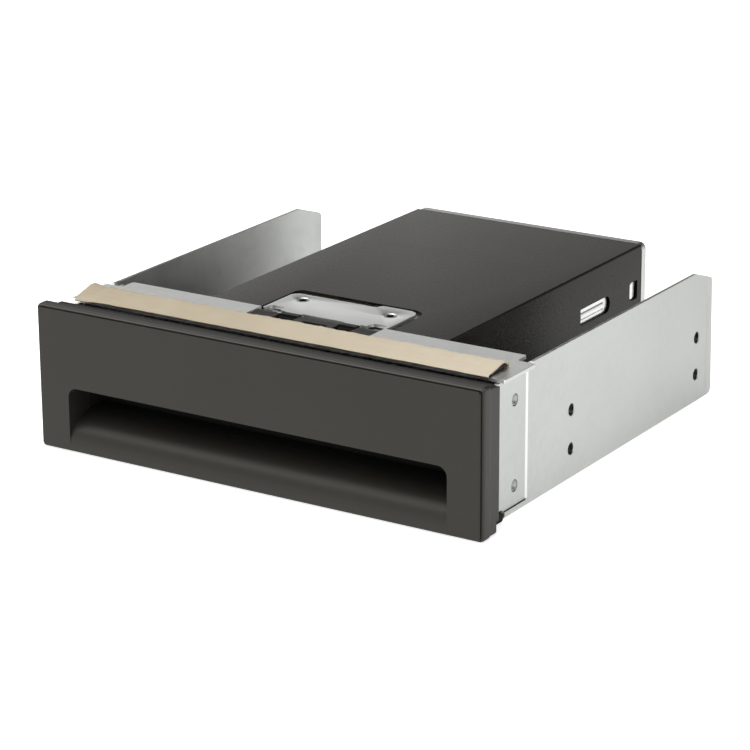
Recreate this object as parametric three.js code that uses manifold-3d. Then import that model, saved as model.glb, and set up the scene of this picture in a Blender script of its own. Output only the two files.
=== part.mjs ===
// Half-height 5.25-inch drive-bay unit: a galvanised tray with a moulded bezel,
// holding a drive enclosure that is hinged at its front top edge.
// Millimetres, +Z up, +X to the right seen from the front, +Y to the rear.
import * as THREE from 'three';
import { mergeVertices } from 'three/addons/utils/BufferGeometryUtils.js';
import Module from 'manifold-3d';

const wasm = await Module();
wasm.setup();

// ---------------------------------------------------------------- dimensions
// Working datum: x = 0 on the centre plane, y = 0 on the bezel's front face,
// z = 0 on the underside of the tray.
const BAY_W = 146.0;            // over the tray's side walls
const BAY_H = 42.16;            // side wall height
const HOLE_PITCH = 79.25;       // bay screw holes, front to rear
const HOLE_Y = 55.5;            // front pair
const HOLE_Z = [9.65, 21.49];   // two rows, 11.84 apart
const HOLE_R = 1.65;
const TRAY_T = 1.0;
const TRAY_Y0 = 10.3, TRAY_Y1 = 145.3;
const JOGGLE_Y = 29.9, JOGGLE = 1.0, JOGGLE_TOP = 40.0;

const BEZ_HW = 76.1, BEZ_Z0 = -0.5, BEZ_Z1 = 43.8, BEZ_T = 4.6;
const SKIRT_HW = 75.8, SKIRT_Z0 = -0.3, SKIRT_Z1 = 43.0, SKIRT_Y1 = 9.9, SKIRT_T = 2.0;
const RIVET_Y = 23.7, RIVET_Z = [8.4, 33.6];
const SCOOP_HW = 65.0, SCOOP_TOP = 19.7, SCOOP_R = 3.0, SCOOP_Y1 = 17.0;
const SCOOP_FLOOR = [[0, 2.0], [0.35, 4.2], [1.2, 6.1], [2.5, 7.5], [4.2, 8.6], [6.6, 9.6], [9.6, 10.4], [13.0, 10.9], [17.0, 11.0]];

const PLATE_Y0 = 15.0, PLATE_Z0 = 41.0, PLATE_Z1 = 42.0, PLATE_HW = 73.9, PLATE_HW2 = 68.4;
const PLATE_Y1 = 32.0, PLATE_Y2 = 37.5;
const NOTCH_HW = 21.4, NOTCH_Y = 29.0;

const PIN_Y = 35.5, PIN_Z = 39.5, PIN_R = 1.0;
const LEAF_T = 1.0, LEAF_TOP = 41.6, LEAF_HW = 21.3, CURL_R = 2.1;
const TABS = [[-13.0, -7.1], [7.6, 13.0]];
const LEAF_SCREW_Y = 50.3;

const BOX_HW = 41.8, BOX_TOP = 41.0, BOX_Y0 = 39.6, BOX_Y1 = 160.2, BOX_RIM_Y = 157.5;
const COVER_T = 0.7, COVER_Z0 = 4.6;
const SHELL_HW = 40.8, SHELL_TOP = 40.1, SHELL_Z0 = 3.6, SHELL_T = 0.8, SHELL_Y0 = 40.7;

const DRIVE_HW = 34.925, DRIVE_L = 100.45, DRIVE_H = 14.8, DRIVE_Y0 = 51.2;
const DRIVE_Z = [6.5, 23.0];
const SLED_HW = 36.2, SLED_IN = 35.2, SLED_Z0 = 5.1, SLED_Z1 = 38.4, SLED_Y0 = 51.6, SLED_Y1 = 153.6;

const CENTRE_Y = BOX_Y1 / 2;    // middle of the overall depth

// ---------------------------------------------------------------- helpers
const solid = (geometry) => {
  const g = geometry.clone();
  for (const k of Object.keys(g.attributes)) if (k !== 'position') g.deleteAttribute(k);
  const m = mergeVertices(g, 1e-4);
  return new wasm.Manifold(new wasm.Mesh({
    numProp: 3,
    vertProperties: new Float32Array(m.attributes.position.array),
    triVerts: new Uint32Array(m.index.array),
  }));
};
const block = (x0, x1, y0, y1, z0, z1) => {
  const g = new THREE.BoxGeometry(x1 - x0, y1 - y0, z1 - z0);
  g.translate((x0 + x1) / 2, (y0 + y1) / 2, (z0 + z1) / 2);
  return solid(g);
};
const basis = (a, b, c) => new THREE.Matrix4().makeBasis(new THREE.Vector3(...a), new THREE.Vector3(...b), new THREE.Vector3(...c));
const shapeOf = (pts) => new THREE.Shape(pts.map((p) => new THREE.Vector2(p[0], p[1])));
// profile in (y, z), run along x
const alongX = (shape, x0, x1, seg = 8) => {
  const g = new THREE.ExtrudeGeometry(Array.isArray(shape) ? shapeOf(shape) : shape, { depth: x1 - x0, bevelEnabled: false, curveSegments: seg });
  g.applyMatrix4(basis([0, 1, 0], [0, 0, 1], [1, 0, 0]));
  g.translate(x0, 0, 0);
  return solid(g);
};
// profile in (x, z), run along y
const alongY = (shape, y0, y1, seg = 8) => {
  const g = new THREE.ExtrudeGeometry(Array.isArray(shape) ? shapeOf(shape) : shape, { depth: y1 - y0, bevelEnabled: false, curveSegments: seg });
  g.applyMatrix4(basis([1, 0, 0], [0, 0, 1], [0, -1, 0]));
  g.translate(0, y1, 0);
  return solid(g);
};
// outline in (x, y), run along z
const alongZ = (shape, z0, z1, seg = 8) => {
  const g = new THREE.ExtrudeGeometry(Array.isArray(shape) ? shapeOf(shape) : shape, { depth: z1 - z0, bevelEnabled: false, curveSegments: seg });
  g.translate(0, 0, z0);
  return solid(g);
};
const roundRect = (x0, x1, y0, y1, r) => {
  const [a, b, c, d] = Array.isArray(r) ? r : [r, r, r, r]; // lower left, lower right, upper right, upper left
  const s = new THREE.Shape();
  s.moveTo(x0 + a, y0);
  s.lineTo(x1 - b, y0); if (b) s.absarc(x1 - b, y0 + b, b, -Math.PI / 2, 0, false);
  s.lineTo(x1, y1 - c); if (c) s.absarc(x1 - c, y1 - c, c, 0, Math.PI / 2, false);
  s.lineTo(x0 + d, y1); if (d) s.absarc(x0 + d, y1 - d, d, Math.PI / 2, Math.PI, false);
  s.lineTo(x0, y0 + a); if (a) s.absarc(x0 + a, y0 + a, a, Math.PI, 1.5 * Math.PI, false);
  return s;
};
// turned solid: profile [radius, height] pairs about an axis that points along +X, -X, +Y, +Z or -Z
const turned = (profile, at, dir, seg = 16) => {
  const pts = profile.map((p) => new THREE.Vector2(p[0], p[1]));
  const g = new THREE.LatheGeometry(pts, seg);
  const m = { '+z': [[1, 0, 0], [0, 0, 1], [0, -1, 0]], '-z': [[1, 0, 0], [0, 0, -1], [0, 1, 0]],
    '+x': [[0, -1, 0], [1, 0, 0], [0, 0, 1]], '-x': [[0, 1, 0], [-1, 0, 0], [0, 0, 1]],
    '+y': [[1, 0, 0], [0, 1, 0], [0, 0, 1]] }[dir];
  g.applyMatrix4(basis(...m));
  g.translate(...at);
  const s = solid(g);
  return s;
};
const rod = (r, len, at, dir, seg = 16) => {
  const g = new THREE.CylinderGeometry(r, r, len, seg);
  g.translate(0, len / 2, 0);
  const m = { '+z': [[1, 0, 0], [0, 0, 1], [0, -1, 0]], '-z': [[1, 0, 0], [0, 0, -1], [0, 1, 0]],
    '+x': [[0, -1, 0], [1, 0, 0], [0, 0, 1]], '-x': [[0, 1, 0], [-1, 0, 0], [0, 0, 1]],
    '+y': [[1, 0, 0], [0, 1, 0], [0, 0, 1]] }[dir];
  g.applyMatrix4(basis(...m));
  g.translate(...at);
  return solid(g);
};
const union = (...a) => a.reduce((p, q) => p.add(q));
const cut = (a, ...b) => b.reduce((p, q) => p.subtract(q), a);

const part = new THREE.Group();
const origin = new THREE.Group();      // puts the overall box's bottom centre at 0, 0, 0
origin.position.set(0, -CENTRE_Y, -BEZ_Z0);
part.add(origin);
const chassis = new THREE.Group(), carrier = new THREE.Group(), sledGroup = new THREE.Group();
origin.add(chassis, carrier);
carrier.add(sledGroup);

const put = (group, name, man, material) => {
  const m = man.getMesh();
  const g = new THREE.BufferGeometry();
  g.setAttribute('position', new THREE.BufferAttribute(new Float32Array(m.vertProperties), 3));
  g.setIndex(new THREE.BufferAttribute(new Uint32Array(m.triVerts), 1));
  g.computeVertexNormals();
  const mesh = new THREE.Mesh(g, new THREE.MeshStandardMaterial(material));
  mesh.name = name;
  group.add(mesh);
};

const GALV = { color: 0xced0cc, roughness: 0.45, metalness: 1.0 };
const BRIGHT = { color: 0xdedfdd, roughness: 0.28, metalness: 1.0 };
const BLACK_PLASTIC = { color: 0x35342f, roughness: 0.55, metalness: 0.0 };
const BLACK_PAINT = { color: 0x3b3a36, roughness: 0.5, metalness: 0.1 };
const FABRIC = { color: 0xd6c6a4, roughness: 0.9, metalness: 0.0 };
const FOAM = { color: 0x2b2a28, roughness: 0.95, metalness: 0.0 };
const RUBBER = { color: 0x1d1d1d, roughness: 0.85, metalness: 0.0 };
const ZINC = { color: 0xb9bab6, roughness: 0.4, metalness: 1.0 };
const CAST = { color: 0x9b9da0, roughness: 0.5, metalness: 1.0 };
const LID = { color: 0xc3c5c8, roughness: 0.3, metalness: 1.0 };
const BOARD = { color: 0x1f4a2f, roughness: 0.5, metalness: 0.0 };
const CONNECTOR = { color: 0x191919, roughness: 0.5, metalness: 0.0 };
const NYLON = { color: 0x2a2a2a, roughness: 0.6, metalness: 0.0 };

// ---------------------------------------------------------------- tray
{
  // side outline of both walls, in (y, z)
  const side = [[TRAY_Y0, 0], [TRAY_Y1 - 4.0, 0], [TRAY_Y1 - 1.2, 1.2], [TRAY_Y1, 4.0], [TRAY_Y1, 36.9],
    [TRAY_Y1 - 0.5, 37.9], [TRAY_Y1 - 1.6, 38.6], [133.0, BAY_H], [32.9, BAY_H], [32.3, JOGGLE_TOP], [TRAY_Y0, JOGGLE_TOP]];
  const outline = alongX(side, -80, 80);
  const walls = [1, -1].map((s) => {
    const o = BAY_W / 2, i = o - TRAY_T;
    const pts = [[o - JOGGLE, TRAY_Y0], [o - JOGGLE, JOGGLE_Y - 0.6], [o, JOGGLE_Y + 0.6], [o, TRAY_Y1 - 4.5], [o - 0.5, TRAY_Y1],
      [i - 0.5, TRAY_Y1], [i, TRAY_Y1 - 4.5], [i, JOGGLE_Y + 1.2], [i - JOGGLE, JOGGLE_Y], [i - JOGGLE, TRAY_Y0]]
      .map(([x, y]) => [s * x, y]);
    // the strip under the slit is not set in with the rest of the wall
    const low = [[o, TRAY_Y0], [o, TRAY_Y1 - 4.5], [o - 0.5, TRAY_Y1], [i - 0.5, TRAY_Y1], [i, TRAY_Y1 - 4.5], [i, TRAY_Y0]].map(([x, y]) => [s * x, y]);
    if (s < 0) { pts.reverse(); low.reverse(); }
    return alongZ(pts, 2.5, BAY_H).add(alongZ(low, 0, 2.6)).intersect(outline);
  });
  const floor = alongZ([[-72.5, TRAY_Y0], [72.5, TRAY_Y0], [72.5, TRAY_Y1 - 6],
    [68, TRAY_Y1 - 1.5], [-68, TRAY_Y1 - 1.5], [-72.5, TRAY_Y1 - 6]], 0, TRAY_T);
  let tray = union(floor, ...walls);
  const holes = [];
  for (const s of [1, -1]) for (const y of [HOLE_Y, HOLE_Y + HOLE_PITCH]) {   // drawn collars round the tapped holes
    for (const z of HOLE_Z) tray = tray.add(rod(2.5, 1.9, [s * 70.4, y, z], s > 0 ? '+x' : '-x', 16));
  }
  for (const s of [1, -1]) for (const y of [HOLE_Y, HOLE_Y + HOLE_PITCH]) {
    for (const z of HOLE_Z) holes.push(rod(HOLE_R, 6, [s > 0 ? 69.5 : -69.5, y, z], s > 0 ? '+x' : '-x'));
    holes.push(rod(HOLE_R, 4, [s * 67.5, y, -1], '+z'));
  }
  for (const s of [1, -1]) {
    const a = Math.min(s * 68, s * 76), b = Math.max(s * 68, s * 76);
    for (const z of RIVET_Z) holes.push(rod(1.7, 6, [s * 69, RIVET_Y, z], s > 0 ? '+x' : '-x', 12));
    holes.push(block(a, b, 18.0, 29.6, 2.2, 2.9));                                     // slit over the floor bend
    holes.push(alongX(roundRect(5, 18.6, -3, 3.4, [0, 0, 1.6, 0]), Math.min(s * 70.9, s * 76), Math.max(s * 70.9, s * 76), 4)); // corner relief
    holes.push(turned([[0, -0.5], [2.95, -0.5], [1.7, 1.02], [1.7, 2], [0, 2]], [s * 55, 20.2, 0], '+z', 12)); // bezel screw seat
  }
  put(chassis, 'chassis_tray', cut(tray, ...holes), GALV);
}

// ---------------------------------------------------------------- front frame
{
  const pts = [[-PLATE_HW, PLATE_Y0], [PLATE_HW, PLATE_Y0], [PLATE_HW, PLATE_Y1], [PLATE_HW2, PLATE_Y1 + 1.2], [PLATE_HW2, PLATE_Y2],
    [NOTCH_HW, PLATE_Y2], [NOTCH_HW, NOTCH_Y], [-NOTCH_HW, NOTCH_Y], [-NOTCH_HW, PLATE_Y2], [-PLATE_HW2, PLATE_Y2],
    [-PLATE_HW2, PLATE_Y1 + 1.2], [-PLATE_HW, PLATE_Y1]];
  const plate = alongZ(pts, PLATE_Z0, PLATE_Z1);
  const wall = block(-70.2, 70.2, 27.2, 28.2, 1.3, PLATE_Z0 + 0.2);
  const flange = [1, -1].map((s) => {
    const f = alongX([[16.2, 5.2], [37.6, 5.2], [37.6, 36], [36.0, PLATE_Z0 + 0.2], [16.2, PLATE_Z0 + 0.2]],
      Math.min(s * 69.7, s * 70.7), Math.max(s * 69.7, s * 70.7));
    return cut(f, ...RIVET_Z.map((z) => rod(1.7, 6, [s * 68, RIVET_Y, z], s > 0 ? '+x' : '-x', 12)));
  });
  put(chassis, 'front_frame', union(plate, wall, ...flange), GALV);
}

// ---------------------------------------------------------------- rivets
for (const [s, side] of [[1, 'right'], [-1, 'left']]) {
  for (const [z, tag] of [[RIVET_Z[0], 'lower'], [RIVET_Z[1], 'upper']]) {
    const prof = [[0, 69.0], [1.9, 69.0], [1.9, 69.5], [1.6, 69.5], [1.6, 71.9], [1.15, 71.9], [0.9, 71.6], [0, 71.55]];
    put(chassis, `frame_rivet_${side}_${tag}`, turned(prof, [0, RIVET_Y, z], s > 0 ? '+x' : '-x', 12), ZINC);
  }
}

// ---------------------------------------------------------------- bezel
{
  const B = 0.8;
  const face = new THREE.ExtrudeGeometry(roundRect(-BEZ_HW + B, BEZ_HW - B, BEZ_Z0 + B, BEZ_Z1 - B, 0.5),
    { depth: BEZ_T - 2 * B, bevelEnabled: true, bevelThickness: B, bevelSize: B, bevelSegments: 3, curveSegments: 2 });
  face.applyMatrix4(basis([1, 0, 0], [0, 0, 1], [0, -1, 0]));
  face.translate(0, BEZ_T - B, 0);
  let front = solid(face);
  const skirt = alongY(roundRect(-SKIRT_HW, SKIRT_HW, SKIRT_Z0, SKIRT_Z1, 0.8), 2.0, SKIRT_Y1, 3);
  const hollow = alongY(roundRect(-SKIRT_HW + SKIRT_T, SKIRT_HW - SKIRT_T, SKIRT_Z0 + SKIRT_T, SKIRT_Z1 - SKIRT_T, 0.8), 2.4, SKIRT_Y1 + 1, 2);
  front = cut(front.add(skirt), hollow, block(-78, -72.6, BEZ_T, SKIRT_Y1 + 1, 41.6, 46));
  // closed finger scoop with a rolled lower lip
  const under = [[1.0, 0.2], [1.0, 21.5], [18.8, 21.5], [18.8, 9.3], [13.0, 9.1], [9.0, 8.5], [6.0, 7.2], [4.6, 5.2], [4.2, 1.0], [4.2, 0.2]];
  const body = alongX(under, -SCOOP_HW - 1.8, SCOOP_HW + 1.8);
  const run = alongX([[-3, SCOOP_FLOOR[0][1]], ...SCOOP_FLOOR, [SCOOP_Y1, SCOOP_TOP + 2], [-3, SCOOP_TOP + 2]], -SCOOP_HW - 3, SCOOP_HW + 3);
  const mouth = alongY(roundRect(-SCOOP_HW, SCOOP_HW, -4, SCOOP_TOP, [0, 0, SCOOP_R, SCOOP_R]), -2, SCOOP_Y1, 4);
  front = front.add(body).subtract(run.intersect(mouth));
  // screw bosses and side tongues that reach into the tray
  for (const s of [1, -1]) {
    const a = Math.min(s * 51, s * 59), b = Math.max(s * 51, s * 59);
    front = front.add(block(a, b, 8.0, 23.8, 1.4, 9.0)).subtract(rod(1.45, 7.2, [s * 55, 20.2, 0.5], '+z', 12));
    front = front.add(block(Math.min(s * 71.9, s * 74.6), Math.max(s * 71.9, s * 74.6), 6.0, 9.9, 0.2, 3.0))
      .add(block(Math.min(s * 71.9, s * 73.4), Math.max(s * 71.9, s * 73.4), 9.0, 18.2, 0.2, 3.0));   // lower corner clips
    const c = Math.min(s * 67.4, s * 69.3), d = Math.max(s * 67.4, s * 69.3);
    front = front.add(block(c, d, 2.2, 23.8, 17.0, 28.0)).subtract(block(c - 2, d + 2, 19.0, 22.0, 19.5, 25.5));
  }
  put(chassis, 'front_bezel', front, BLACK_PLASTIC);
  for (const [s, side] of [[1, 'right'], [-1, 'left']]) {
    const prof = [[0, 0.1], [0.9, 0.1], [0.9, 0.45], [1.2, 0.45], [1.2, 0.1], [2.35, 0.1], [1.2, 1.2], [1.1, 6.3], [0, 7.2]];
    put(chassis, `bezel_screw_${side}`, turned(prof, [s * 55, 20.2, 0], '+z', 12), ZINC);
  }
}

// ---------------------------------------------------------------- shielding gasket: fabric sleeve over foam
{
  const outer = [[15.3, 42.0], [25.2, 42.0], [25.7, 42.35], [25.6, 42.95], [24.8, 43.75], [23.7, 44.3], [22.4, 44.5], [20.4, 44.2],
    [18.0, 43.65], [15.2, 43.05], [14.05, 42.75], [13.85, 42.35], [14.2, 42.05]];
  const c = [20.6, 43.2];
  const inset = (p, d) => {
    const v = [p[0] - c[0], p[1] - c[1]], l = Math.hypot(...v);
    return [p[0] - v[0] / l * d * (Math.abs(v[0]) > 3 ? 1.0 : 1.0), p[1] - Math.sign(v[1]) * Math.min(Math.abs(v[1]), d)];
  };
  const sleeve = cut(alongX(outer, -72.0, 69.7), alongX(outer.map((p) => inset(p, 0.4)), -73, 71));
  put(chassis, 'emi_gasket_fabric', sleeve, FABRIC);
  put(chassis, 'emi_gasket_core', alongX(outer.map((p) => inset(p, 0.75)), -71.6, 69.3), FOAM);
}

// ---------------------------------------------------------------- hinge block and pin
{
  const arc = (r, a0, a1, n) => Array.from({ length: n + 1 }, (_, k) => {
    const a = (a0 + (a1 - a0) * k / n) * Math.PI / 180;
    return [PIN_Y + r * Math.cos(a), PIN_Z + r * Math.sin(a)];
  });
  const mid = [[NOTCH_Y + 0.4, 33.2], [34.2, 33.2], [37.5, 36.8], ...arc(2.0, 0, 80, 6), [35.2, 41.45], [NOTCH_Y + 0.4, 41.45]];
  let b = alongX(mid, -NOTCH_HW + 0.4, NOTCH_HW - 0.4);
  const ear = [[33.0, 36.0], [36.6, 36.0], ...arc(2.9, -45, 40, 7), [36.6, 41.7], [33.6, 41.7]];
  b = union(b, alongX(ear, 15.5, 20.0), alongX(ear, -20.0, -15.5), block(-27, 27, 28.6, 34.4, 37.6, 40.7));
  b = cut(b, ...TABS.map(([x0, x1]) => block(x0 - 0.45, x1 + 0.45, 31.0, 40, 36.8, 43)));
  b = cut(b, rod(1.15, 60, [-30, PIN_Y, PIN_Z], '+x', 24));
  b = cut(b, block(-3.6, 5.0, 30.4, 33.0, 38.6, 43));       // moulding core-out between the pockets
  put(chassis, 'hinge_block', b, BLACK_PLASTIC);
  put(chassis, 'hinge_pin', rod(PIN_R, 41.0, [-20.5, PIN_Y, PIN_Z], '+x', 24), BRIGHT);
}

// ---------------------------------------------------------------- rest bumpers on the tray floor
for (const [x, y, tag] of [[32, 60, 'right_front'], [-32, 60, 'left_front'], [32, 136, 'right_rear'], [-32, 136, 'left_rear']]) {
  put(chassis, `rest_bumper_${tag}`, turned([[0, 1.0], [4.0, 1.0], [4.0, 2.4], [3.3, 3.2], [0, 3.2]], [x, y, 0], '+z', 16), RUBBER);
}

// ---------------------------------------------------------------- enclosure: inner shell
{
  const tube = alongY(roundRect(-SHELL_HW, SHELL_HW, SHELL_Z0, SHELL_TOP, 1.0), SHELL_Y0, BOX_Y1, 3);
  const rim = alongY(roundRect(-BOX_HW, BOX_HW, SHELL_Z0, BOX_TOP, [1.0, 1.0, 2.2, 2.2]), BOX_RIM_Y, BOX_Y1, 4);
  const inside = alongY(roundRect(-SHELL_HW + SHELL_T, SHELL_HW - SHELL_T, SHELL_Z0 + SHELL_T, SHELL_TOP - SHELL_T, 0.6), SHELL_Y0 + SHELL_T, BOX_Y1 + 2, 2);
  const lead = alongY(roundRect(-SHELL_HW + SHELL_T - 0.3, SHELL_HW - SHELL_T + 0.3, SHELL_Z0 + SHELL_T - 0.2, SHELL_TOP - SHELL_T + 0.3, 1.0), BOX_Y1 - 1.2, BOX_Y1 + 2, 2);
  let shell = cut(tube.add(rim), inside, lead);
  for (const s of [1, -1]) {
    const a = Math.min(s * 40.5, s * 41.45), b = Math.max(s * 40.5, s * 41.45);
    shell = shell.add(alongX(roundRect(118.4, 135.8, 24.9, 29.3, [0.2, 2.0, 2.0, 0.2]), a, b, 4));  // formed spring strip in the window
    shell = shell.add(block(a, b, 150.4, 154.0, 24.6, 29.5));                                       // catch strip in the rear slot
    for (const y of [62, 142]) shell = shell.subtract(rod(1.3, 6, [s * 38, y, 9.0], s > 0 ? '+x' : '-x', 12));
  }
  for (const x of [-15.3, 15.3]) shell = shell.subtract(rod(1.5, 4, [x, LEAF_SCREW_Y, 38], '+z', 12));
  for (const [x0, x1] of [[-9.8, -5.2], [0.4, 5.0]]) shell = shell.subtract(block(x0, x1, 57.4, 61.2, 38, 42));   // hook slots behind the leaf
  put(carrier, 'carrier_shell', shell, BRIGHT);
}

// ---------------------------------------------------------------- enclosure: outer cover
{
  const wrap = alongY(roundRect(-BOX_HW, BOX_HW, COVER_Z0, BOX_TOP, [0, 0, 0.7, 0.7]), BOX_Y0, BOX_RIM_Y - 0.3, 2);
  const inner = block(-BOX_HW + COVER_T, BOX_HW - COVER_T, BOX_Y0 + COVER_T, BOX_RIM_Y + 1, COVER_Z0 - 1, BOX_TOP - COVER_T);
  let cover = cut(wrap, inner);
  cover = cut(cover, alongZ(roundRect(-23.2, 22.2, BOX_Y0 - 1, 60.1, [0, 0, 4.6, 2.4]), BOX_TOP - 2, BOX_TOP + 1, 5));
  cover = cut(cover, block(-23.2, 22.2, BOX_Y0 - 1, BOX_Y0 + 2, 38.4, BOX_TOP + 1));
  for (const s of [1, -1]) {
    const a = Math.min(s * 40.9, s * 43), b = Math.max(s * 40.9, s * 43);
    cover = cut(cover, alongX(roundRect(117.6, 136.6, 24.4, 29.8, [0.3, 2.6, 2.6, 0.3]), a, b, 5));
    cover = cut(cover, alongX(roundRect(149.7, 154.8, 24.0, 30.1, 0.5), a, b, 2));
    for (const y of [62, 142]) cover = cut(cover, rod(1.6, 4, [s * 40, y, 9.0], s > 0 ? '+x' : '-x', 12));
  }
  put(carrier, 'carrier_cover', cover, BLACK_PAINT);
}

// ---------------------------------------------------------------- hinge leaf
{
  const z0 = LEAF_TOP - LEAF_T;
  const s = new THREE.Shape();
  s.moveTo(-LEAF_HW, 38.1);
  s.lineTo(-20.5, 38.1); s.lineTo(-20.5, 40.0); s.absarc(-19.3, 40.0, 1.2, Math.PI, Math.PI / 2, true);
  s.lineTo(-16.2, 41.2); s.absarc(-16.2, 40.0, 1.2, Math.PI / 2, 0, true); s.lineTo(-15.0, 38.1);
  s.lineTo(15.0, 38.1); s.lineTo(15.0, 40.0); s.absarc(16.2, 40.0, 1.2, Math.PI, Math.PI / 2, true);
  s.lineTo(19.3, 41.2); s.absarc(19.3, 40.0, 1.2, Math.PI / 2, 0, true); s.lineTo(20.5, 38.1);
  s.lineTo(LEAF_HW, 38.1); s.lineTo(LEAF_HW, 53.8); s.absarc(LEAF_HW - 3.4, 53.8, 3.4, 0, Math.PI / 2, false);
  s.lineTo(8.4, 57.2); s.lineTo(7.2, 55.0); s.lineTo(-LEAF_HW + 2.6, 55.0);
  s.absarc(-LEAF_HW + 2.6, 52.4, 2.6, Math.PI / 2, Math.PI, false);
  s.lineTo(-LEAF_HW, 38.1);
  let leaf = alongZ(s, z0, LEAF_TOP, 4);
  for (const x of [-15.3, 15.3]) leaf = cut(leaf, turned([[0, -3], [1.5, -3], [1.5, -0.95], [2.75, 0.3], [2.75, 1], [0, 1]], [x, LEAF_SCREW_Y, LEAF_TOP], '+z', 16));
  const N = 10, a0 = 90, a1 = 320;
  const P = (r, k, n = N) => { const a = (a0 + (a1 - a0) * k / n) * Math.PI / 180; return [PIN_Y + r * Math.cos(a), PIN_Z + r * Math.sin(a)]; };
  const ring = [];
  const ri = (CURL_R - LEAF_T) / Math.cos((a1 - a0) / N / 2 * Math.PI / 180);
  for (let k = 0; k <= N; k++) ring.push(P(CURL_R, k));
  for (let k = N; k >= 0; k--) ring.push(P(ri, k));
  ring.push([39.5, z0], [39.5, LEAF_TOP]);
  for (const [x0, x1] of TABS) leaf = leaf.add(alongX(ring, x0, x1));
  put(carrier, 'hinge_leaf', leaf, BRIGHT);
  for (const [x, side] of [[15.3, 'right'], [-15.3, 'left']]) {
    const prof = [[0, -3.6], [1.15, -3.6], [1.15, -1.0], [1.95, 0.0], [1.0, 0.0], [0.8, -0.45], [0, -0.45]];
    put(carrier, `leaf_screw_${side}`, turned(prof, [x, LEAF_SCREW_Y, LEAF_TOP - 0.25], '+z', 16), ZINC);
  }
}

// ---------------------------------------------------------------- cover screws, low on the sides
for (const [s, side] of [[1, 'right'], [-1, 'left']]) {
  for (const [y, tag] of [[62, 'front'], [142, 'rear']]) {
    const prof = [[0, 39.0], [1.0, 39.0], [1.0, 41.95], [2.2, 41.95], [2.2, 42.4], [1.6, 42.9], [0, 43.0]];
    put(carrier, `cover_screw_${side}_${tag}`, turned(prof, [0, y, 9.0], s > 0 ? '+x' : '-x', 12), ZINC);
  }
}

// ---------------------------------------------------------------- backplane with two receptacles
{
  let board = block(-37.0, 37.0, 42.4, 44.0, 6.0, 38.0);
  for (const [x, z] of [[-34, 21.8], [34, 21.8]]) board = cut(board, rod(1.5, 4, [x, 41, z], '+y', 12));
  put(carrier, 'backplane_board', board, BOARD);
  DRIVE_Z.forEach((z, i) => {
    let s = block(-21.0, 12.6, 44.0, 54.2, z + 0.9, z + 4.7);
    s = s.add(block(-23.0, 14.6, 44.0, 49.8, z + 0.5, z + 5.5));
    s = cut(s, block(-19.2, -1.8, 48.0, 56, z + 2.0, z + 3.7), block(0.2, 10.8, 48.0, 56, z + 2.0, z + 3.7));
    put(carrier, `backplane_socket_${['lower', 'upper'][i]}`, s, CONNECTOR);
  });
  for (const [x, side] of [[34, 'right'], [-34, 'left']]) {
    const prof = [[0, 41.7], [1.1, 41.7], [1.1, 44.3], [2.3, 44.3], [2.2, 45.2], [1.4, 45.7], [0, 45.8]];
    put(carrier, `board_screw_${side}`, turned(prof, [x, 0, 21.8], '+y', 12), ZINC);
  }
}

// ---------------------------------------------------------------- guide rails inside the shell
for (const [s, side] of [[1, 'right'], [-1, 'left']]) {
  const a = Math.min(s * 36.5, s * 39.8), b = Math.max(s * 36.5, s * 39.8);
  const c = Math.min(s * 36.0, s * 38.7), d = Math.max(s * 36.0, s * 38.7);
  let rail = alongX(roundRect(50.0, 152.0, 17.8, 23.2, 0.6), a, b, 2);
  rail = cut(rail, alongX([[46, 19.6], [150.0, 19.6], [153, 19.0], [153, 22.0], [150.0, 21.4], [46, 21.4]], c, d));
  put(carrier, `guide_rail_${side}`, rail, NYLON);
}

// ---------------------------------------------------------------- sled
{
  let sled = block(-SLED_HW, SLED_HW, SLED_Y0, SLED_Y1, SLED_Z0, SLED_Z1);
  sled = cut(sled, block(-SLED_IN, SLED_IN, SLED_Y0 - 1, SLED_Y1 - 1.2, SLED_Z0 + 1.0, SLED_Z1 + 1));
  sled = cut(sled, block(-28, 28, 60, 145, SLED_Z0 - 1, SLED_Z0 + 2));
  for (let k = -4; k <= 4; k++) {
    for (const [z0, z1] of [[8.5, 19.5], [24.5, 35.5]]) sled = cut(sled, block(k * 7 - 1.5, k * 7 + 1.5, SLED_Y1 - 3, SLED_Y1 + 2, z0, z1));
  }
  for (const s of [1, -1]) {
    sled = sled.add(block(Math.min(s * 35.7, s * 38.3), Math.max(s * 35.7, s * 38.3), SLED_Y0 + 1, SLED_Y1 - 4, 19.95, 21.05));
    for (const z of DRIVE_Z) for (const y of [14.0, 90.6]) {
      sled = cut(sled, rod(1.8, 5, [s * 33.5, DRIVE_Y0 + y, z + 3.0], s > 0 ? '+x' : '-x', 8));
    }
    sled = cut(sled, block(Math.min(s * 34, s * 37), Math.max(s * 34, s * 37), 75, 132, 27.5, 34.5));
    sled = cut(sled, block(Math.min(s * 34, s * 37), Math.max(s * 34, s * 37), 75, 132, 10.0, 16.0));
  }
  for (const x of [-8.5, 8.5]) sled = cut(sled, rod(1.2, 5, [x, SLED_Y1 - 3, 22.0], '+y', 12));
  put(sledGroup, 'drive_sled', sled, GALV);

  // pull bail on the outer face
  let bail = alongZ(roundRect(-12.5, 12.5, SLED_Y1 + 0.3, 159.4, [0.3, 0.3, 1.6, 1.6]), 20.2, 23.8, 4);
  bail = cut(bail, alongZ(roundRect(-5.6, 5.6, SLED_Y1 - 1, 157.8, 0.6), 19, 25, 3));
  for (const x of [-8.5, 8.5]) bail = bail.add(rod(0.85, 2.6, [x, SLED_Y1 - 2.2, 22.0], '+y', 12));
  put(sledGroup, 'sled_handle', bail, NYLON);
}

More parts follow.
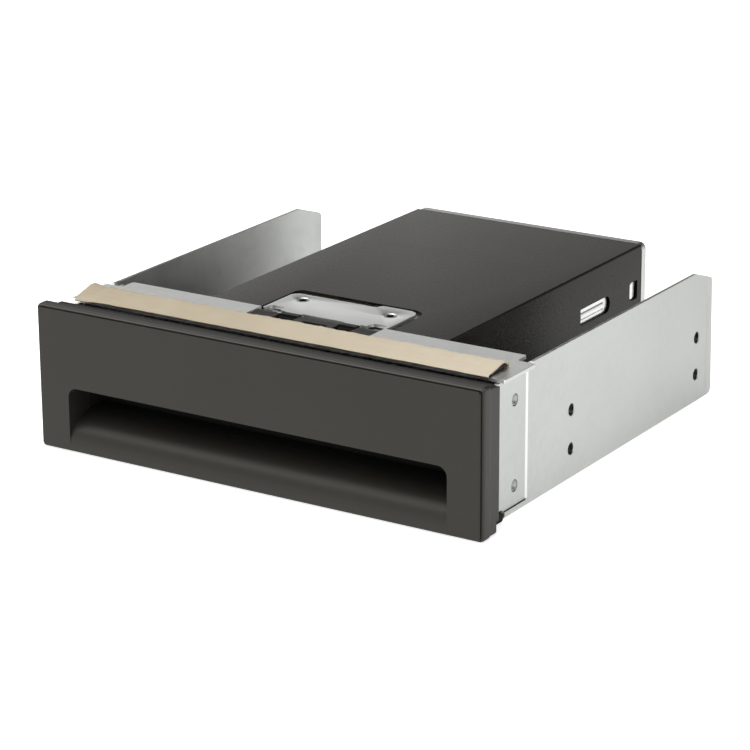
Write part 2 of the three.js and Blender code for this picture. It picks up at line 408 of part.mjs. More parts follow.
// ---------------------------------------------------------------- two 2.5-inch drives
DRIVE_Z.forEach((z, i) => {
  const tag = ['lower', 'upper'][i];
  const y0 = DRIVE_Y0, y1 = DRIVE_Y0 + DRIVE_L;
  let base = alongZ(roundRect(-DRIVE_HW, DRIVE_HW, y0, y1, 1.5), z, z + 13.0, 2);
  base = cut(base, block(-31.9, 31.9, y0 + 6.5, y1 - 20, z - 1, z + 3.4));     // board bay underneath
  base = cut(base, block(-23.6, 15.0, y0 - 1, y0 + 7.0, z - 1, z + 6.2));       // connector bay
  for (const s of [1, -1]) for (const y of [14.0, 90.6]) base = cut(base, rod(1.4, 4.5, [s * 31.5, y0 + y, z + 3.0], s > 0 ? '+x' : '-x', 8));
  put(sledGroup, `drive_base_${tag}`, base, CAST);

  let lid = alongZ(roundRect(-34.0, 34.0, y0 + 1.6, y1 - 1.2, 2.2), z + 13.3, z + 14.3, 3);
  lid = lid.add(alongZ(roundRect(-30.0, 30.0, y0 + 36, y1 - 4, 8), z + 14.0, z + 14.8, 4));
  lid = cut(lid, rod(6.5, 2, [0, y0 + 66.2, z + 14.4], '+z', 24).subtract(rod(5.6, 3, [0, y0 + 66.2, z + 14.0], '+z', 24)));
  put(sledGroup, `drive_lid_${tag}`, lid, LID);

  put(sledGroup, `drive_pcb_${tag}`, union(block(-31.0, 31.0, y0 + 7.4, y1 - 22, z + 1.0, z + 2.2),
    block(-12, 8, y0 + 20, y0 + 36, z + 2.1, z + 3.1), block(14, 26, y0 + 44, y0 + 56, z + 2.1, z + 3.0)), BOARD);

  const plug = union(block(-22.6, 14.0, y0 + 3.6, y0 + 6.9, z + 0.5, z + 5.6), block(-18.8, -2.2, y0 - 1.6, y0 + 4, z + 2.35, z + 3.35),
    block(0.6, 10.4, y0 - 1.6, y0 + 4, z + 2.35, z + 3.35));
  put(sledGroup, `drive_plug_${tag}`, plug, CONNECTOR);

  for (const [s, side] of [[1, 'right'], [-1, 'left']]) for (const [y, end] of [[14.0, 'front'], [90.6, 'rear']]) {
    const prof = [[0, 32.4], [1.05, 32.4], [1.05, 36.5], [2.1, 36.5], [2.1, 36.9], [1.5, 37.4], [0, 37.5]];
    put(sledGroup, `drive_screw_${tag}_${side}_${end}`, turned(prof, [0, y0 + y, z + 3.0], s > 0 ? '+x' : '-x', 8), ZINC);
  }
});

export default part;
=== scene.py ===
import math
import bpy
import bmesh
import numpy as np
from mathutils import Matrix, Vector


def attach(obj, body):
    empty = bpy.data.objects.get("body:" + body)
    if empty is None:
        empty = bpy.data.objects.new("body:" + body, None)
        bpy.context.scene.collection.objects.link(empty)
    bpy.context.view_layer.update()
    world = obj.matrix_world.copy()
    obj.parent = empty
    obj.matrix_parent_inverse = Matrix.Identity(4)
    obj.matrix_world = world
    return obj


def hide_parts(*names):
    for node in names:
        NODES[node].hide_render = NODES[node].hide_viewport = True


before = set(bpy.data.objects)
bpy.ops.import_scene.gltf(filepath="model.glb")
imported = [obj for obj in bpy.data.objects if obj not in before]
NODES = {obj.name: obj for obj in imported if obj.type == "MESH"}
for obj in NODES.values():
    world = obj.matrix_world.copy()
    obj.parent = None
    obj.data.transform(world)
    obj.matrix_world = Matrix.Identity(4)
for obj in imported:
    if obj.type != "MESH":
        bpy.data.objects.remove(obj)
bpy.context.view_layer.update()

scene = bpy.context.scene
coll = scene.collection

# The shapes below are drawn in millimetres from a datum on the bezel's front face and the tray's underside.
DY, DZ = -80.1, 0.5

# ------------------------------------------------------------------ shape helpers


def new_object(name, verts, faces):
    me = bpy.data.meshes.new(name)
    me.from_pydata([tuple(map(float, v)) for v in verts], [], faces)
    me.update()
    ob = bpy.data.objects.new(name, me)
    coll.objects.link(ob)
    return ob


def fix_normals(ob):
    bm = bmesh.new()
    bm.from_mesh(ob.data)
    bmesh.ops.remove_doubles(bm, verts=bm.verts, dist=1e-5)
    bmesh.ops.recalc_face_normals(bm, faces=bm.faces)
    bm.to_mesh(ob.data)
    bm.free()
    return ob


AX = {"x": (1, 2, 0), "y": (0, 2, 1), "z": (0, 1, 2)}


def prism(pts, axis, a, b, name="t"):
    i, j, k = AX[axis]
    n = len(pts)
    verts = []
    for lvl in (a, b):
        for p in pts:
            v = [0, 0, 0]
            v[i], v[j], v[k] = p[0], p[1], lvl
            verts.append(v)
    faces = [list(range(n))[::-1], list(range(n, 2 * n))]
    faces += [[q, (q + 1) % n, n + (q + 1) % n, n + q] for q in range(n)]
    return fix_normals(new_object(name, verts, faces))


def loft(sections, name="t"):
    """closed solid through equal-length rings of 3-D points"""
    n = len(sections[0])
    verts = [p for s in sections for p in s]
    faces = [list(range(n))[::-1], [(len(sections) - 1) * n + q for q in range(n)]]
    for s in range(len(sections) - 1):
        faces += [[s * n + q, s * n + (q + 1) % n, (s + 1) * n + (q + 1) % n, (s + 1) * n + q] for q in range(n)]
    return fix_normals(new_object(name, verts, faces))


def box(x0, x1, y0, y1, z0, z1):
    return prism([(x0, y0), (x1, y0), (x1, y1), (x0, y1)], "z", z0, z1)


def arc(cx, cy, r, a0, a1, n):
    return [(cx + r * math.cos(math.radians(a0 + (a1 - a0) * k / n)), cy + r * math.sin(math.radians(a0 + (a1 - a0) * k / n))) for k in range(n + 1)]


def rrect(x0, x1, y0, y1, r, n=8):
    r = list(r) if isinstance(r, (list, tuple)) else [r] * 4
    c = [(x0, y0, 1, 1, 180), (x1, y0, -1, 1, 270), (x1, y1, -1, -1, 0), (x0, y1, 1, -1, 90)]
    out = []
    for (x, y, sx, sy, a), q in zip(c, r):
        out += [(x, y)] if q < 1e-6 else arc(x + sx * q, y + sy * q, q, a, a + 90, n)
    return out


def turn(profile, at, d, seg=32, name="t"):
    """solid of revolution; profile is [radius, height] with the height along d, starting and ending on the axis"""
    e = {"x": ((0, 1, 0), (0, 0, 1), (1, 0, 0)), "y": ((0, 0, 1), (1, 0, 0), (0, 1, 0)), "z": ((1, 0, 0), (0, 1, 0), (0, 0, 1))}[d[-1]]
    sg = -1 if d[0] == "-" else 1
    u, v, w = (Vector(q) for q in e)
    w = w * sg
    at = Vector(at)
    verts, rings = [], []
    for r, h in profile:
        if r < 1e-6:
            rings.append([len(verts)])
            verts.append(at + w * h)
        else:
            rings.append(list(range(len(verts), len(verts) + seg)))
            for k in range(seg):
                t = 2 * math.pi * k / seg
                verts.append(at + w * h + u * (r * math.cos(t)) + v * (r * math.sin(t)))
    faces = []
    for a, b in zip(rings[:-1], rings[1:]):
        for k in range(seg):
            l = (k + 1) % seg
            if len(a) == 1 and len(b) == 1:
                continue
            if len(a) == 1:
                faces.append([a[0], b[k], b[l]])
            elif len(b) == 1:
                faces.append([a[k], a[l], b[0]])
            else:
                faces.append([a[k], a[l], b[l], b[k]])
    return fix_normals(new_object(name, verts, faces))


def rod(r, length, at, d, seg=32):
    return turn([(0, 0), (r, 0), (r, length), (0, length)], at, d, seg)


def drop(ob):
    me = ob.data
    bpy.data.objects.remove(ob)
    if me.users == 0:
        bpy.data.meshes.remove(me)


def join(obs, name="t"):
    """several separate solids as one operand"""
    bm = bmesh.new()
    for o in obs:
        bm.from_mesh(o.data)
    me = bpy.data.meshes.new(name)
    bm.to_mesh(me)
    bm.free()
    for o in obs:
        drop(o)
    ob = bpy.data.objects.new(name, me)
    coll.objects.link(ob)
    return ob


def csg(base, other, op):
    others = other if isinstance(other, (list, tuple)) else [other]
    for o in others:
        m = base.modifiers.new("b", "BOOLEAN")
        m.operation = op
        m.solver = "MANIFOLD"
        m.object = o
    bpy.context.view_layer.update()
    dg = bpy.context.evaluated_depsgraph_get()
    me = bpy.data.meshes.new_from_object(base.evaluated_get(dg))
    base.modifiers.clear()
    old = base.data
    base.data = me
    bpy.data.meshes.remove(old)
    for o in others:
        drop(o)
    return base


def union(base, *o):
    return csg(base, list(o), "UNION")


def cut(base, *o):
    return csg(base, list(o), "DIFFERENCE")


def common(base, *o):
    return csg(base, list(o), "INTERSECT")


def soften(ob, width, angle=32, seg=2, flat=1.0, weighted=False):
    """clean planar faces, then round every sharp edge"""
    bm = bmesh.new()
    bm.from_mesh(ob.data)
    bmesh.ops.remove_doubles(bm, verts=bm.verts, dist=width * 0.02)
    bmesh.ops.dissolve_limit(bm, angle_limit=math.radians(flat), verts=bm.verts, edges=bm.edges)
    bm.to_mesh(ob.data)
    bm.free()
    ob.data.polygons.foreach_set("use_smooth", [True] * len(ob.data.polygons))
    if width > 0:
        m = ob.modifiers.new("bev", "BEVEL")
        m.width = width
        m.segments = seg
        m.limit_method = "ANGLE"
        m.angle_limit = math.radians(angle)
        m.harden_normals = True
        m.use_clamp_overlap = True
        m.miter_outer = "MITER_ARC"
    if weighted:
        # large flat faces keep their own normal, only the small roundings bend the light
        wn = ob.modifiers.new("wn", "WEIGHTED_NORMAL")
        wn.mode = "FACE_AREA"
        wn.weight = 50
    t = ob.modifiers.new("tri", "TRIANGULATE")
    t.keep_custom_normals = True
    bpy.context.view_layer.update()
    dg = bpy.context.evaluated_depsgraph_get()
    me = bpy.data.meshes.new_from_object(ob.evaluated_get(dg))
    ob.modifiers.clear()
    old = ob.data
    ob.data = me
    bpy.data.meshes.remove(old)
    return ob


def place(ob, name, body, mat, slot, *nodes, shift=True):
    """put a finished millimetre shape into the row frame and hand it to its body"""
    if shift:
        ob.data.transform(Matrix.Scale(0.001, 4) @ Matrix.Translation((0, DY, DZ)))
    ob.name = name
    ob.data.name = name
    ob.data.materials.clear()
    ob.data.materials.append(mat)
    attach(ob, body)
    if nodes:
        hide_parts(*nodes)
    return ob


def refine(node, body, mat, slot, width=0.15, name=None, angle=32, seg=2):
    """a CAD node's own shape with its edges rounded"""
    src = NODES[node]
    ob = bpy.data.objects.new(node + "_fine", src.data.copy())
    coll.objects.link(ob)
    ob.data.transform(Matrix.Scale(1000.0, 4))
    soften(ob, width, angle, seg)
    ob.data.transform(Matrix.Scale(0.001, 4))
    return place(ob, name or node + "_fine", body, mat, slot, node, shift=False)


# ------------------------------------------------------------------ materials


class Mat:
    def __init__(self, name, color, rough, metal=0.0, **socket):
        self.m = bpy.data.materials.new(name)
        self.m.use_nodes = True
        self.t = self.m.node_tree
        self.bsdf = self.t.nodes["Principled BSDF"]
        self.bsdf.inputs["Base Color"].default_value = (*color, 1)
        self.bsdf.inputs["Roughness"].default_value = rough
        self.bsdf.inputs["Metallic"].default_value = metal
        for k, v in socket.items():
            self.bsdf.inputs[k.replace("_", " ")].default_value = v
        self.co = self.n("ShaderNodeTexCoord").outputs["Object"]
        self.height = None

    def n(self, kind, **props):
        node = self.t.nodes.new(kind)
        for k, v in props.items():
            setattr(node, k, v)
        return node

    def link(self, a, b):
        self.t.links.new(a, b)

    def mapped(self, scale=(1, 1, 1), rot=(0, 0, 0)):
        m = self.n("ShaderNodeMapping")
        m.inputs["Scale"].default_value = scale
        m.inputs["Rotation"].default_value = rot
        self.link(self.co, m.inputs["Vector"])
        return m.outputs["Vector"]

    def noise(self, scale, detail=2.0, rough=0.5, vec=None, dist=0.0):
        q = self.n("ShaderNodeTexNoise")
        q.inputs["Scale"].default_value = scale
        q.inputs["Detail"].default_value = detail
        q.inputs["Roughness"].default_value = rough
        q.inputs["Distortion"].default_value = dist
        self.link(vec or self.co, q.inputs["Vector"])
        return q.outputs["Fac"]

    def voronoi(self, scale, vec=None, out="Color", feature="F1", rnd=1.0):
        q = self.n("ShaderNodeTexVoronoi", feature=feature)
        q.inputs["Scale"].default_value = scale
        q.inputs["Randomness"].default_value = rnd
        self.link(vec or self.co, q.inputs["Vector"])
        return q.outputs[out]

    def rng(self, fac, a, b, lo=0.0, hi=1.0):
        q = self.n("ShaderNodeMapRange")
        q.inputs["From Min"].default_value = lo
        q.inputs["From Max"].default_value = hi
        q.inputs["To Min"].default_value = a
        q.inputs["To Max"].default_value = b
        self.link(fac, q.inputs["Value"])
        return q.outputs["Result"]

    def math(self, op, a, b=None):
        q = self.n("ShaderNodeMath", operation=op)
        for k, v in enumerate((a, b)):
            if v is None:
                continue
            if isinstance(v, (int, float)):
                q.inputs[k].default_value = v
            else:
                self.link(v, q.inputs[k])
        return q.outputs[0]

    def ramp(self, fac, stops):
        q = self.n("ShaderNodeValToRGB")
        e = q.color_ramp.elements
        while len(e) < len(stops):
            e.new(0.5)
        for el, (p, c) in zip(e, stops):
            el.position = p
            el.color = (*c, 1) if len(c) == 3 else c
        self.link(fac, q.inputs["Fac"])
        return q.outputs["Color"]

    def mix(self, fac, a, b, blend="MIX"):
        q = self.n("ShaderNodeMix", data_type="RGBA", blend_type=blend)
        for s, v in ((q.inputs["Factor"], fac), (q.inputs["A"], a), (q.inputs["B"], b)):
            pass
        ins = {"f": q.inputs[0], "a": q.inputs[6], "b": q.inputs[7]}
        for k, v in (("f", fac), ("a", a), ("b", b)):
            if isinstance(v, (int, float)):
                ins[k].default_value = v
            elif isinstance(v, tuple):
                ins[k].default_value = (*v, 1)
            else:
                self.link(v, ins[k])
        return q.outputs[2]

    def color(self, c):
        self.link(c, self.bsdf.inputs["Base Color"])
        return self

    def rough(self, r):
        self.link(r, self.bsdf.inputs["Roughness"])
        return self

    def bump(self, h, dist, strength=1.0):
        b = self.n("ShaderNodeBump")
        b.inputs["Strength"].default_value = strength
        b.inputs["Distance"].default_value = dist
        self.link(h, b.inputs["Height"])
        if self.height is not None:
            self.link(self.height, b.inputs["Normal"])
        self.height = b.outputs["Normal"]
        self.link(self.height, self.bsdf.inputs["Normal"])
        return self


def tint(c, k):
    return tuple(min(1.0, v * k) for v in c)


def step(m, axis, lo, hi):
    """0 to 1 across lo..hi millimetres along an axis of the datum"""
    sep = m.n("ShaderNodeSeparateXYZ")
    m.link(m.co, sep.inputs[0])
    off = {"X": 0.0, "Y": DY, "Z": DZ}[axis]
    return m.rng(sep.outputs[axis], 0.0, 1.0, (lo + off) * 0.001, (hi + off) * 0.001)


def make_galv(name="galvanised_steel", base=(0.53, 0.541, 0.522), rough=0.40, painted_tray_light=False, edges=False):
    m = Mat(name, base, rough, 1.0)
    cells = m.voronoi(420, out="Color")
    bw = m.n("ShaderNodeRGBToBW")
    m.link(cells, bw.inputs[0])
    big = m.noise(45, 3, 0.55)
    fine = m.noise(1400, 2, 0.6)
    v = m.math("ADD", m.math("MULTIPLY", bw.outputs[0], 0.45), m.math("MULTIPLY", big, 0.55))
    col = m.ramp(v, [(0.25, tint(base, 0.94)), (0.5, base), (0.8, tint(base, 1.06))])
    speck = m.rng(m.voronoi(1500, out="Distance"), 1.0, 0.0, 0.02, 0.10)
    col = m.mix(m.math("MULTIPLY", speck, 0.30), col, (0.86, 0.87, 0.86))
    if painted_tray_light:
        # painted highlight along the set-in bend, painted shade inside the tapped holes
        # painted highlight: a bright band along the bend
        painted_bend_highlight = m.math("MULTIPLY", m.math("MULTIPLY", step(m, "Y", 29.5, 29.7), step(m, "Y", 30.4, 30.2)), step(m, "Z", 2.6, 3.0))
        col = m.mix(m.math("MULTIPLY", painted_bend_highlight, 0.9), col, (0.70, 0.71, 0.70))
        # painted shade: the right wall darkened, except on the bend's painted highlight
        col = m.mix(m.math("MULTIPLY", m.math("MULTIPLY", step(m, "X", 60, 70), m.math("SUBTRACT", 1.0, painted_bend_highlight)), 0.16), col, (0.0, 0.0, 0.0))
        # painted shade: darker towards the rear and on the right wall, set for this light, not a real finish
        col = m.mix(m.math("MULTIPLY", step(m, "Y", 60, 150), 0.17), col, (0.02, 0.02, 0.02))
        # painted shade inside the tapped holes
        sep = m.n("ShaderNodeSeparateXYZ")
        m.link(m.co, sep.inputs[0])
        near = None
        for y in (55.5, 134.75):
            for z in (9.65, 21.49):
                dy = m.math("SUBTRACT", sep.outputs["Y"], (y + DY) * 0.001)
                dz = m.math("SUBTRACT", sep.outputs["Z"], (z + DZ) * 0.001)
                d = m.math("SQRT", m.math("ADD", m.math("MULTIPLY", dy, dy), m.math("MULTIPLY", dz, dz)))
                near = d if near is None else m.math("MINIMUM", near, d)
        ax = m.math("ABSOLUTE", sep.outputs["X"])
        painted_hole_shade = m.math("MULTIPLY", m.rng(near, 1.0, 0.0, 0.00168, 0.00176), m.rng(ax, 1.0, 0.0, 0.07275, 0.0729))
        col = m.mix(m.math("MULTIPLY", painted_hole_shade, 0.93), col, (0.03, 0.03, 0.03))
    if edges:
        # painted shade: the plate's right side edge darker than its top face
        col = m.mix(m.math("MULTIPLY", step(m, "X", 74.1, 74.25), 0.95), col, (0.50, 0.505, 0.49))
    m.color(col)
    m.rough(m.rng(m.math("ADD", m.math("MULTIPLY", bw.outputs[0], 0.6), m.math("MULTIPLY", fine, 0.4)), rough - 0.07, rough + 0.09))
    m.bump(fine, 0.00002, 0.35)
    m.bump(big, 0.00025, 0.10)
    return m.m


def make_bright(name="bright_steel", base=(0.66, 0.67, 0.655), rough=0.28, lay="x", painted_knuckle_shade=False, rim=False, recess=None):
    m = Mat(name, base, rough, 1.0)
    sc = {"x": (40, 2600, 2600), "y": (2600, 40, 2600), "z": (2600, 2600, 40)}[lay]
    streak = m.noise(1.0, 3, 0.6, m.mapped(sc))
    soft = m.noise(70, 3, 0.5)
    col = m.ramp(m.math("ADD", m.math("MULTIPLY", streak, 0.6), m.math("MULTIPLY", soft, 0.4)), [(0.3, tint(base, 0.93)), (0.7, tint(base, 1.04))])
    if painted_knuckle_shade:
        # painted shade on the curled knuckles
        col = m.mix(step(m, "Y", 37.5, 37.2), col, (0.006, 0.0057, 0.005))
    if rim:
        # turned rear rim, brushed duller than the sides
        col = m.mix(m.math("MULTIPLY", step(m, "Y", 157.3, 157.5), 0.6), col, (0.30, 0.305, 0.295))
    if recess:
        # painted shade in the driver recess
        sep = m.n("ShaderNodeSeparateXYZ")
        m.link(m.co, sep.inputs[0])
        dx = m.math("SUBTRACT", m.math("ABSOLUTE", sep.outputs["X"]), recess[0] * 0.001)
        dy = m.math("SUBTRACT", sep.outputs["Y"], (recess[1] + DY) * 0.001)
        d = m.math("SQRT", m.math("ADD", m.math("MULTIPLY", dx, dx), m.math("MULTIPLY", dy, dy)))
        col = m.mix(m.rng(d, 1.0, 0.0, 0.00118, 0.00135), col, (0.010, 0.010, 0.009))
    m.color(col)
    m.rough(m.rng(streak, rough - 0.05, rough + 0.09))
    m.bump(streak, 0.000012, 0.4)
    return m.m


def make_plastic(name, base, rough=0.44, grain=900, depth=0.00003, spec=0.5, skirt=False):
    m = Mat(name, base, rough, 0.0, Specular_IOR_Level=spec, Specular_Tint=(1.0, 0.97, 0.90, 1.0))
    fine = m.noise(grain, 3, 0.6)
    big = m.noise(35, 3, 0.5)
    col = m.ramp(m.math("ADD", m.math("MULTIPLY", fine, 0.5), m.math("MULTIPLY", big, 0.5)), [(0.3, tint(base, 0.86)), (0.7, tint(base, 1.14))])
    rgh = m.rng(m.math("ADD", m.math("MULTIPLY", fine, 0.5), m.math("MULTIPLY", big, 0.5)), rough - 0.05, rough + 0.06)
    if skirt:
        # painted shade, near black and rougher, on the top of the skirt and on everything that reaches into the tray
        painted_gap_shade_matte = m.math("MAXIMUM", m.math("MULTIPLY", step(m, "Y", 5.5, 9.6), step(m, "Z", 42.3, 42.6)), step(m, "Y", 9.95, 10.05))
        col = m.mix(m.math("MULTIPLY", painted_gap_shade_matte, 0.95), col, (0.0015, 0.0015, 0.0015))
        rgh = m.math("ADD", rgh, m.math("MULTIPLY", painted_gap_shade_matte, 0.45))
        # painted highlight on the rounded shoulder
        painted_shoulder_highlight = m.math("MULTIPLY", m.math("MULTIPLY", step(m, "Y", 0.6, 0.75), step(m, "Y", 2.6, 1.9)), step(m, "Z", 43.1, 43.3))
        col = m.mix(painted_shoulder_highlight, col, (0.058, 0.055, 0.049))
    m.color(col)
    m.rough(rgh)
    m.bump(fine, depth, 0.45)
    return m.m


def make_paint(name="black_paint"):
    base = (0.0080, 0.0064, 0.0028)
    m = Mat(name, base, 0.27, 0.0, Specular_IOR_Level=0.105, Specular_Tint=(1.0, 0.955, 0.87, 1.0))
    peel = m.noise(1500, 2, 0.5)
    big = m.noise(40, 3, 0.5)
    m.color(m.ramp(big, [(0.3, tint(base, 0.85)), (0.7, tint(base, 1.2))]))
    m.rough(m.rng(m.math("ADD", m.math("MULTIPLY", peel, 0.4), m.math("MULTIPLY", big, 0.6)), 0.23, 0.32))
    m.bump(peel, 0.00003, 0.35)
    return m.m


def make_cloth(name="gasket_cloth"):
    base = (0.50, 0.425, 0.305)
    m = Mat(name, base, 0.78, 0.0, Sheen_Weight=0.1, Sheen_Roughness=0.5)
    u = m.n("ShaderNodeTexWave", wave_type="BANDS", bands_direction="X", wave_profile="SIN")
    v = m.n("ShaderNodeTexWave", wave_type="BANDS", bands_direction="Y", wave_profile="SIN")
    for w in (u, v):
        w.inputs["Scale"].default_value = 560
        w.inputs["Distortion"].default_value = 0.5
        w.inputs["Detail"].default_value = 1.0
        w.inputs["Detail Scale"].default_value = 0.6
        m.link(m.co, w.inputs["Vector"])
    weave = m.math("MULTIPLY", u.outputs["Fac"], v.outputs["Fac"])
    slub = m.noise(1.0, 3, 0.6, m.mapped((90, 1500, 1500)))
    big = m.noise(55, 3, 0.55)
    v1 = m.math("ADD", m.math("MULTIPLY", weave, 0.35), m.math("ADD", m.math("MULTIPLY", slub, 0.3), m.math("MULTIPLY", big, 0.35)))
    col = m.ramp(v1, [(0.28, (0.42, 0.35, 0.245)), (0.5, base), (0.72, (0.62, 0.55, 0.43))])
    # painted light: lighter towards the right, set for this light, not a real finish
    m.color(m.mix(m.math("MULTIPLY", step(m, "X", -35, 60), 0.42), col, (0.80, 0.71, 0.56)))
    m.rough(m.rng(weave, 0.7, 0.86))
    m.bump(weave, 0.00008, 0.6)
    m.bump(slub, 0.00012, 0.6)
    m.bump(m.noise(420, 3, 0.6), 0.0003, 0.5)
    return m.m


def make_foam(name="urethane_foam"):
    base = (0.022, 0.021, 0.019)
    m = Mat(name, base, 0.95)
    cell = m.voronoi(1700, out="Distance")
    m.color(m.ramp(cell, [(0.0, tint(base, 0.4)), (0.6, base), (1.0, tint(base, 2.0))]))
    m.rough(m.rng(cell, 0.85, 1.0))
    m.bump(cell, 0.0003, 0.8)
    return m.m


def make_rubber(name="bumper_rubber"):
    base = (0.018, 0.018, 0.018)
    m = Mat(name, base, 0.8, 0.0, Specular_IOR_Level=0.35)
    f = m.noise(1200, 3, 0.6)
    m.color(m.ramp(f, [(0.3, tint(base, 0.7)), (0.7, tint(base, 1.5))]))
    m.rough(m.rng(f, 0.7, 0.9))
    m.bump(f, 0.00004, 0.5)
    return m.m


def make_cast(name="cast_aluminium"):
    base = (0.50, 0.51, 0.52)
    m = Mat(name, base, 0.46, 1.0)
    f = m.noise(700, 4, 0.65)
    big = m.noise(60, 3, 0.5)
    m.color(m.ramp(big, [(0.3, tint(base, 0.88)), (0.7, tint(base, 1.1))]))
    m.rough(m.rng(f, 0.38, 0.6))
    m.bump(f, 0.00006, 0.5)
    return m.m


def make_board(name="circuit_board"):
    base = (0.012, 0.07, 0.034)
    m = Mat(name, base, 0.42, 0.0, Coat_Weight=0.3, Coat_Roughness=0.25)
    g = m.n("ShaderNodeTexBrick")
    g.inputs["Scale"].default_value = 230
    g.inputs["Mortar Size"].default_value = 0.06
    g.inputs["Color1"].default_value = (0.010, 0.062, 0.030, 1)
    g.inputs["Color2"].default_value = (0.014, 0.082, 0.040, 1)
    g.inputs["Mortar"].default_value = (0.025, 0.12, 0.06, 1)
    m.link(m.mapped((1, 1, 1), (math.radians(90), 0, 0)), g.inputs["Vector"])
    n = m.noise(160, 3, 0.6)
    m.color(m.mix(m.rng(n, 0.0, 0.35), g.outputs["Color"], (0.02, 0.10, 0.05)))
    m.rough(m.rng(n, 0.36, 0.5))
    m.bump(g.outputs["Fac"], 0.00003, 0.5)
    return m.m


GALV = make_galv(painted_tray_light=True)
PLATE = make_galv("galvanised_plate", (0.95, 0.965, 0.935), 0.40, edges=True)
SLED = make_galv("galvanised_sled", (0.62, 0.63, 0.61), 0.4)
BRIGHT = make_bright()
LEAF = make_bright("bright_steel_leaf", (0.95, 0.965, 0.945), 0.36, "x", painted_knuckle_shade=True)
RIM = make_bright("bright_steel_shell", (0.68, 0.69, 0.67), 0.30, "x", rim=True)
FLUSH = make_bright("flush_screw_steel", (0.46, 0.465, 0.455), 0.52, "z", recess=(15.3, 50.3))
ZINC = make_bright("zinc_plate", (0.50, 0.505, 0.495), 0.36, "z")
DULL = make_bright("dull_zinc", (0.33, 0.335, 0.325), 0.42, "z")
BEZEL = make_plastic("bezel_plastic", (0.0138, 0.0128, 0.0104), 0.46, spec=0.34, skirt=True)
BLOCK = make_plastic("hinge_plastic", (0.016, 0.015, 0.0135), 0.48, 1100)
NYLON = make_plastic("nylon", (0.018, 0.018, 0.019), 0.5, 1300)
CONN = make_plastic("connector_plastic", (0.014, 0.014, 0.015), 0.35, 1500, 0.00002)
PAINT = make_paint()
CLOTH = make_cloth()
FOAM = make_foam()
RUBBER = make_rubber()
CAST = make_cast()
LID = make_bright("drive_lid_steel", (0.70, 0.71, 0.72), 0.3, "y")
PCB = make_board()

# ------------------------------------------------------------------ camera, light, floor


def setup_view():
    az, el, roll, dist, f = 32.57, 18.38, -0.33, 903.2, 2968.32
    tx, ty = 7.59, 7.37
    a, e, ro = (math.radians(v) for v in (az, el, roll))
    fwd = Vector((-math.sin(a) * math.cos(e), math.cos(a) * math.cos(e), -math.sin(e)))
    right = fwd.cross(Vector((0, 0, 1))).normalized()
    up = right.cross(fwd)
    r = right * math.cos(ro) + up * math.sin(ro)
    u = up * math.cos(ro) - right * math.sin(ro)
    c = Vector((0, 80, 20)) - fwd * dist - r * tx - u * ty
    c = (c + Vector((0, DY, DZ))) * 0.001
    cam = bpy.data.cameras.new("camera")
    cam.sensor_width = 36
    cam.sensor_fit = "HORIZONTAL"
    cam.lens = f * 36 / 750
    cam.clip_start = 0.01
    cam.clip_end = 50
    ob = bpy.data.objects.new("camera", cam)
    coll.objects.link(ob)
    m = Matrix((r, u, -fwd)).transposed().to_4x4()
    m.translation = c
    ob.matrix_world = m
    scene.camera = ob


def area(name, pos, target, sx, sy, power, color=(1, 1, 1)):
    l = bpy.data.lights.new(name, "AREA")
    l.shape = "RECTANGLE"
    l.size, l.size_y = sx, sy
    l.energy = power
    l.color = color
    ob = bpy.data.objects.new(name, l)
    coll.objects.link(ob)
    ob.location = pos
    d = Vector(target) - Vector(pos)
    ob.rotation_euler = d.to_track_quat("-Z", "Y").to_euler()
    return ob


def setup_light():
    # bright sweep near the horizon, darker studio above it towards the rear
    w = bpy.data.worlds.new("studio")
    scene.world = w
    w.use_nodes = True
    t = w.node_tree
    bg = t.nodes["Background"]
    tc = t.nodes.new("ShaderNodeTexCoord")
    sep = t.nodes.new("ShaderNodeSeparateXYZ")
    t.links.new(tc.outputs["Generated"], sep.inputs[0])

    def ramp(stops):
        r = t.nodes.new("ShaderNodeValToRGB")
        e = r.color_ramp.elements
        while len(e) < len(stops):
            e.new(0.5)
        for el, (p, v) in zip(e, stops):
            el.position = p
            el.color = (v, v, v, 1)
        return r

    rear = ramp([(0.0, 1.0), (0.27, 0.95), (0.36, 0.30), (0.46, 0.03), (1.0, 0.03)])
    front = ramp([(0.0, 0.9), (0.45, 0.75), (0.8, 0.30), (1.0, 0.2)])
    side = t.nodes.new("ShaderNodeMapRange")
    side.inputs["From Min"].default_value = -0.15
    side.inputs["From Max"].default_value = 0.30
    mix = t.nodes.new("ShaderNodeMix")
    mix.data_type = "RGBA"
    t.links.new(sep.outputs["Z"], rear.inputs[0])
    t.links.new(sep.outputs["Z"], front.inputs[0])
    t.links.new(sep.outputs["Y"], side.inputs["Value"])
    t.links.new(side.outputs["Result"], mix.inputs[0])
    t.links.new(front.outputs[0], mix.inputs[6])
    t.links.new(rear.outputs[0], mix.inputs[7])
    t.links.new(mix.outputs[2], bg.inputs["Color"])
    bg.inputs["Strength"].default_value = 1.0
    area("soft_top", (-0.45, -0.6, 1.6), (0, 0, 0), 2.0, 2.0, 33)
    area("soft_right", (1.4, -0.5, 0.4), (0, 0, 0.02), 0.7, 0.7, 2.5)
    scene.view_settings.view_transform = "Standard"
    scene.view_settings.look = "None"
    # backlit pale floor: the faintest grain, seamless to the horizon
    m = Mat("studio_floor", (0.86, 0.86, 0.86), 0.85)
    q = m.noise(9, 3, 0.5)
    m.color(m.ramp(q, [(0.3, (0.85, 0.85, 0.85)), (0.7, (0.875, 0.875, 0.875))]))
    m.bsdf.inputs["Emission Color"].default_value = (1, 1, 1, 1)
    m.bsdf.inputs["Emission Strength"].default_value = 0.72
    ob = new_object("floor", [(-7, -7, 0), (7, -7, 0), (7, 7, 0), (-7, 7, 0)], [[0, 1, 2, 3]])
    ob.data.transform(Matrix.Translation((0, 0, -0.0002)))
    ob.data.materials.append(m.m)


setup_view()
setup_light()

# ------------------------------------------------------------------ chassis


def sgn(s, a, b):
    return (min(s * a, s * b), max(s * a, s * b))


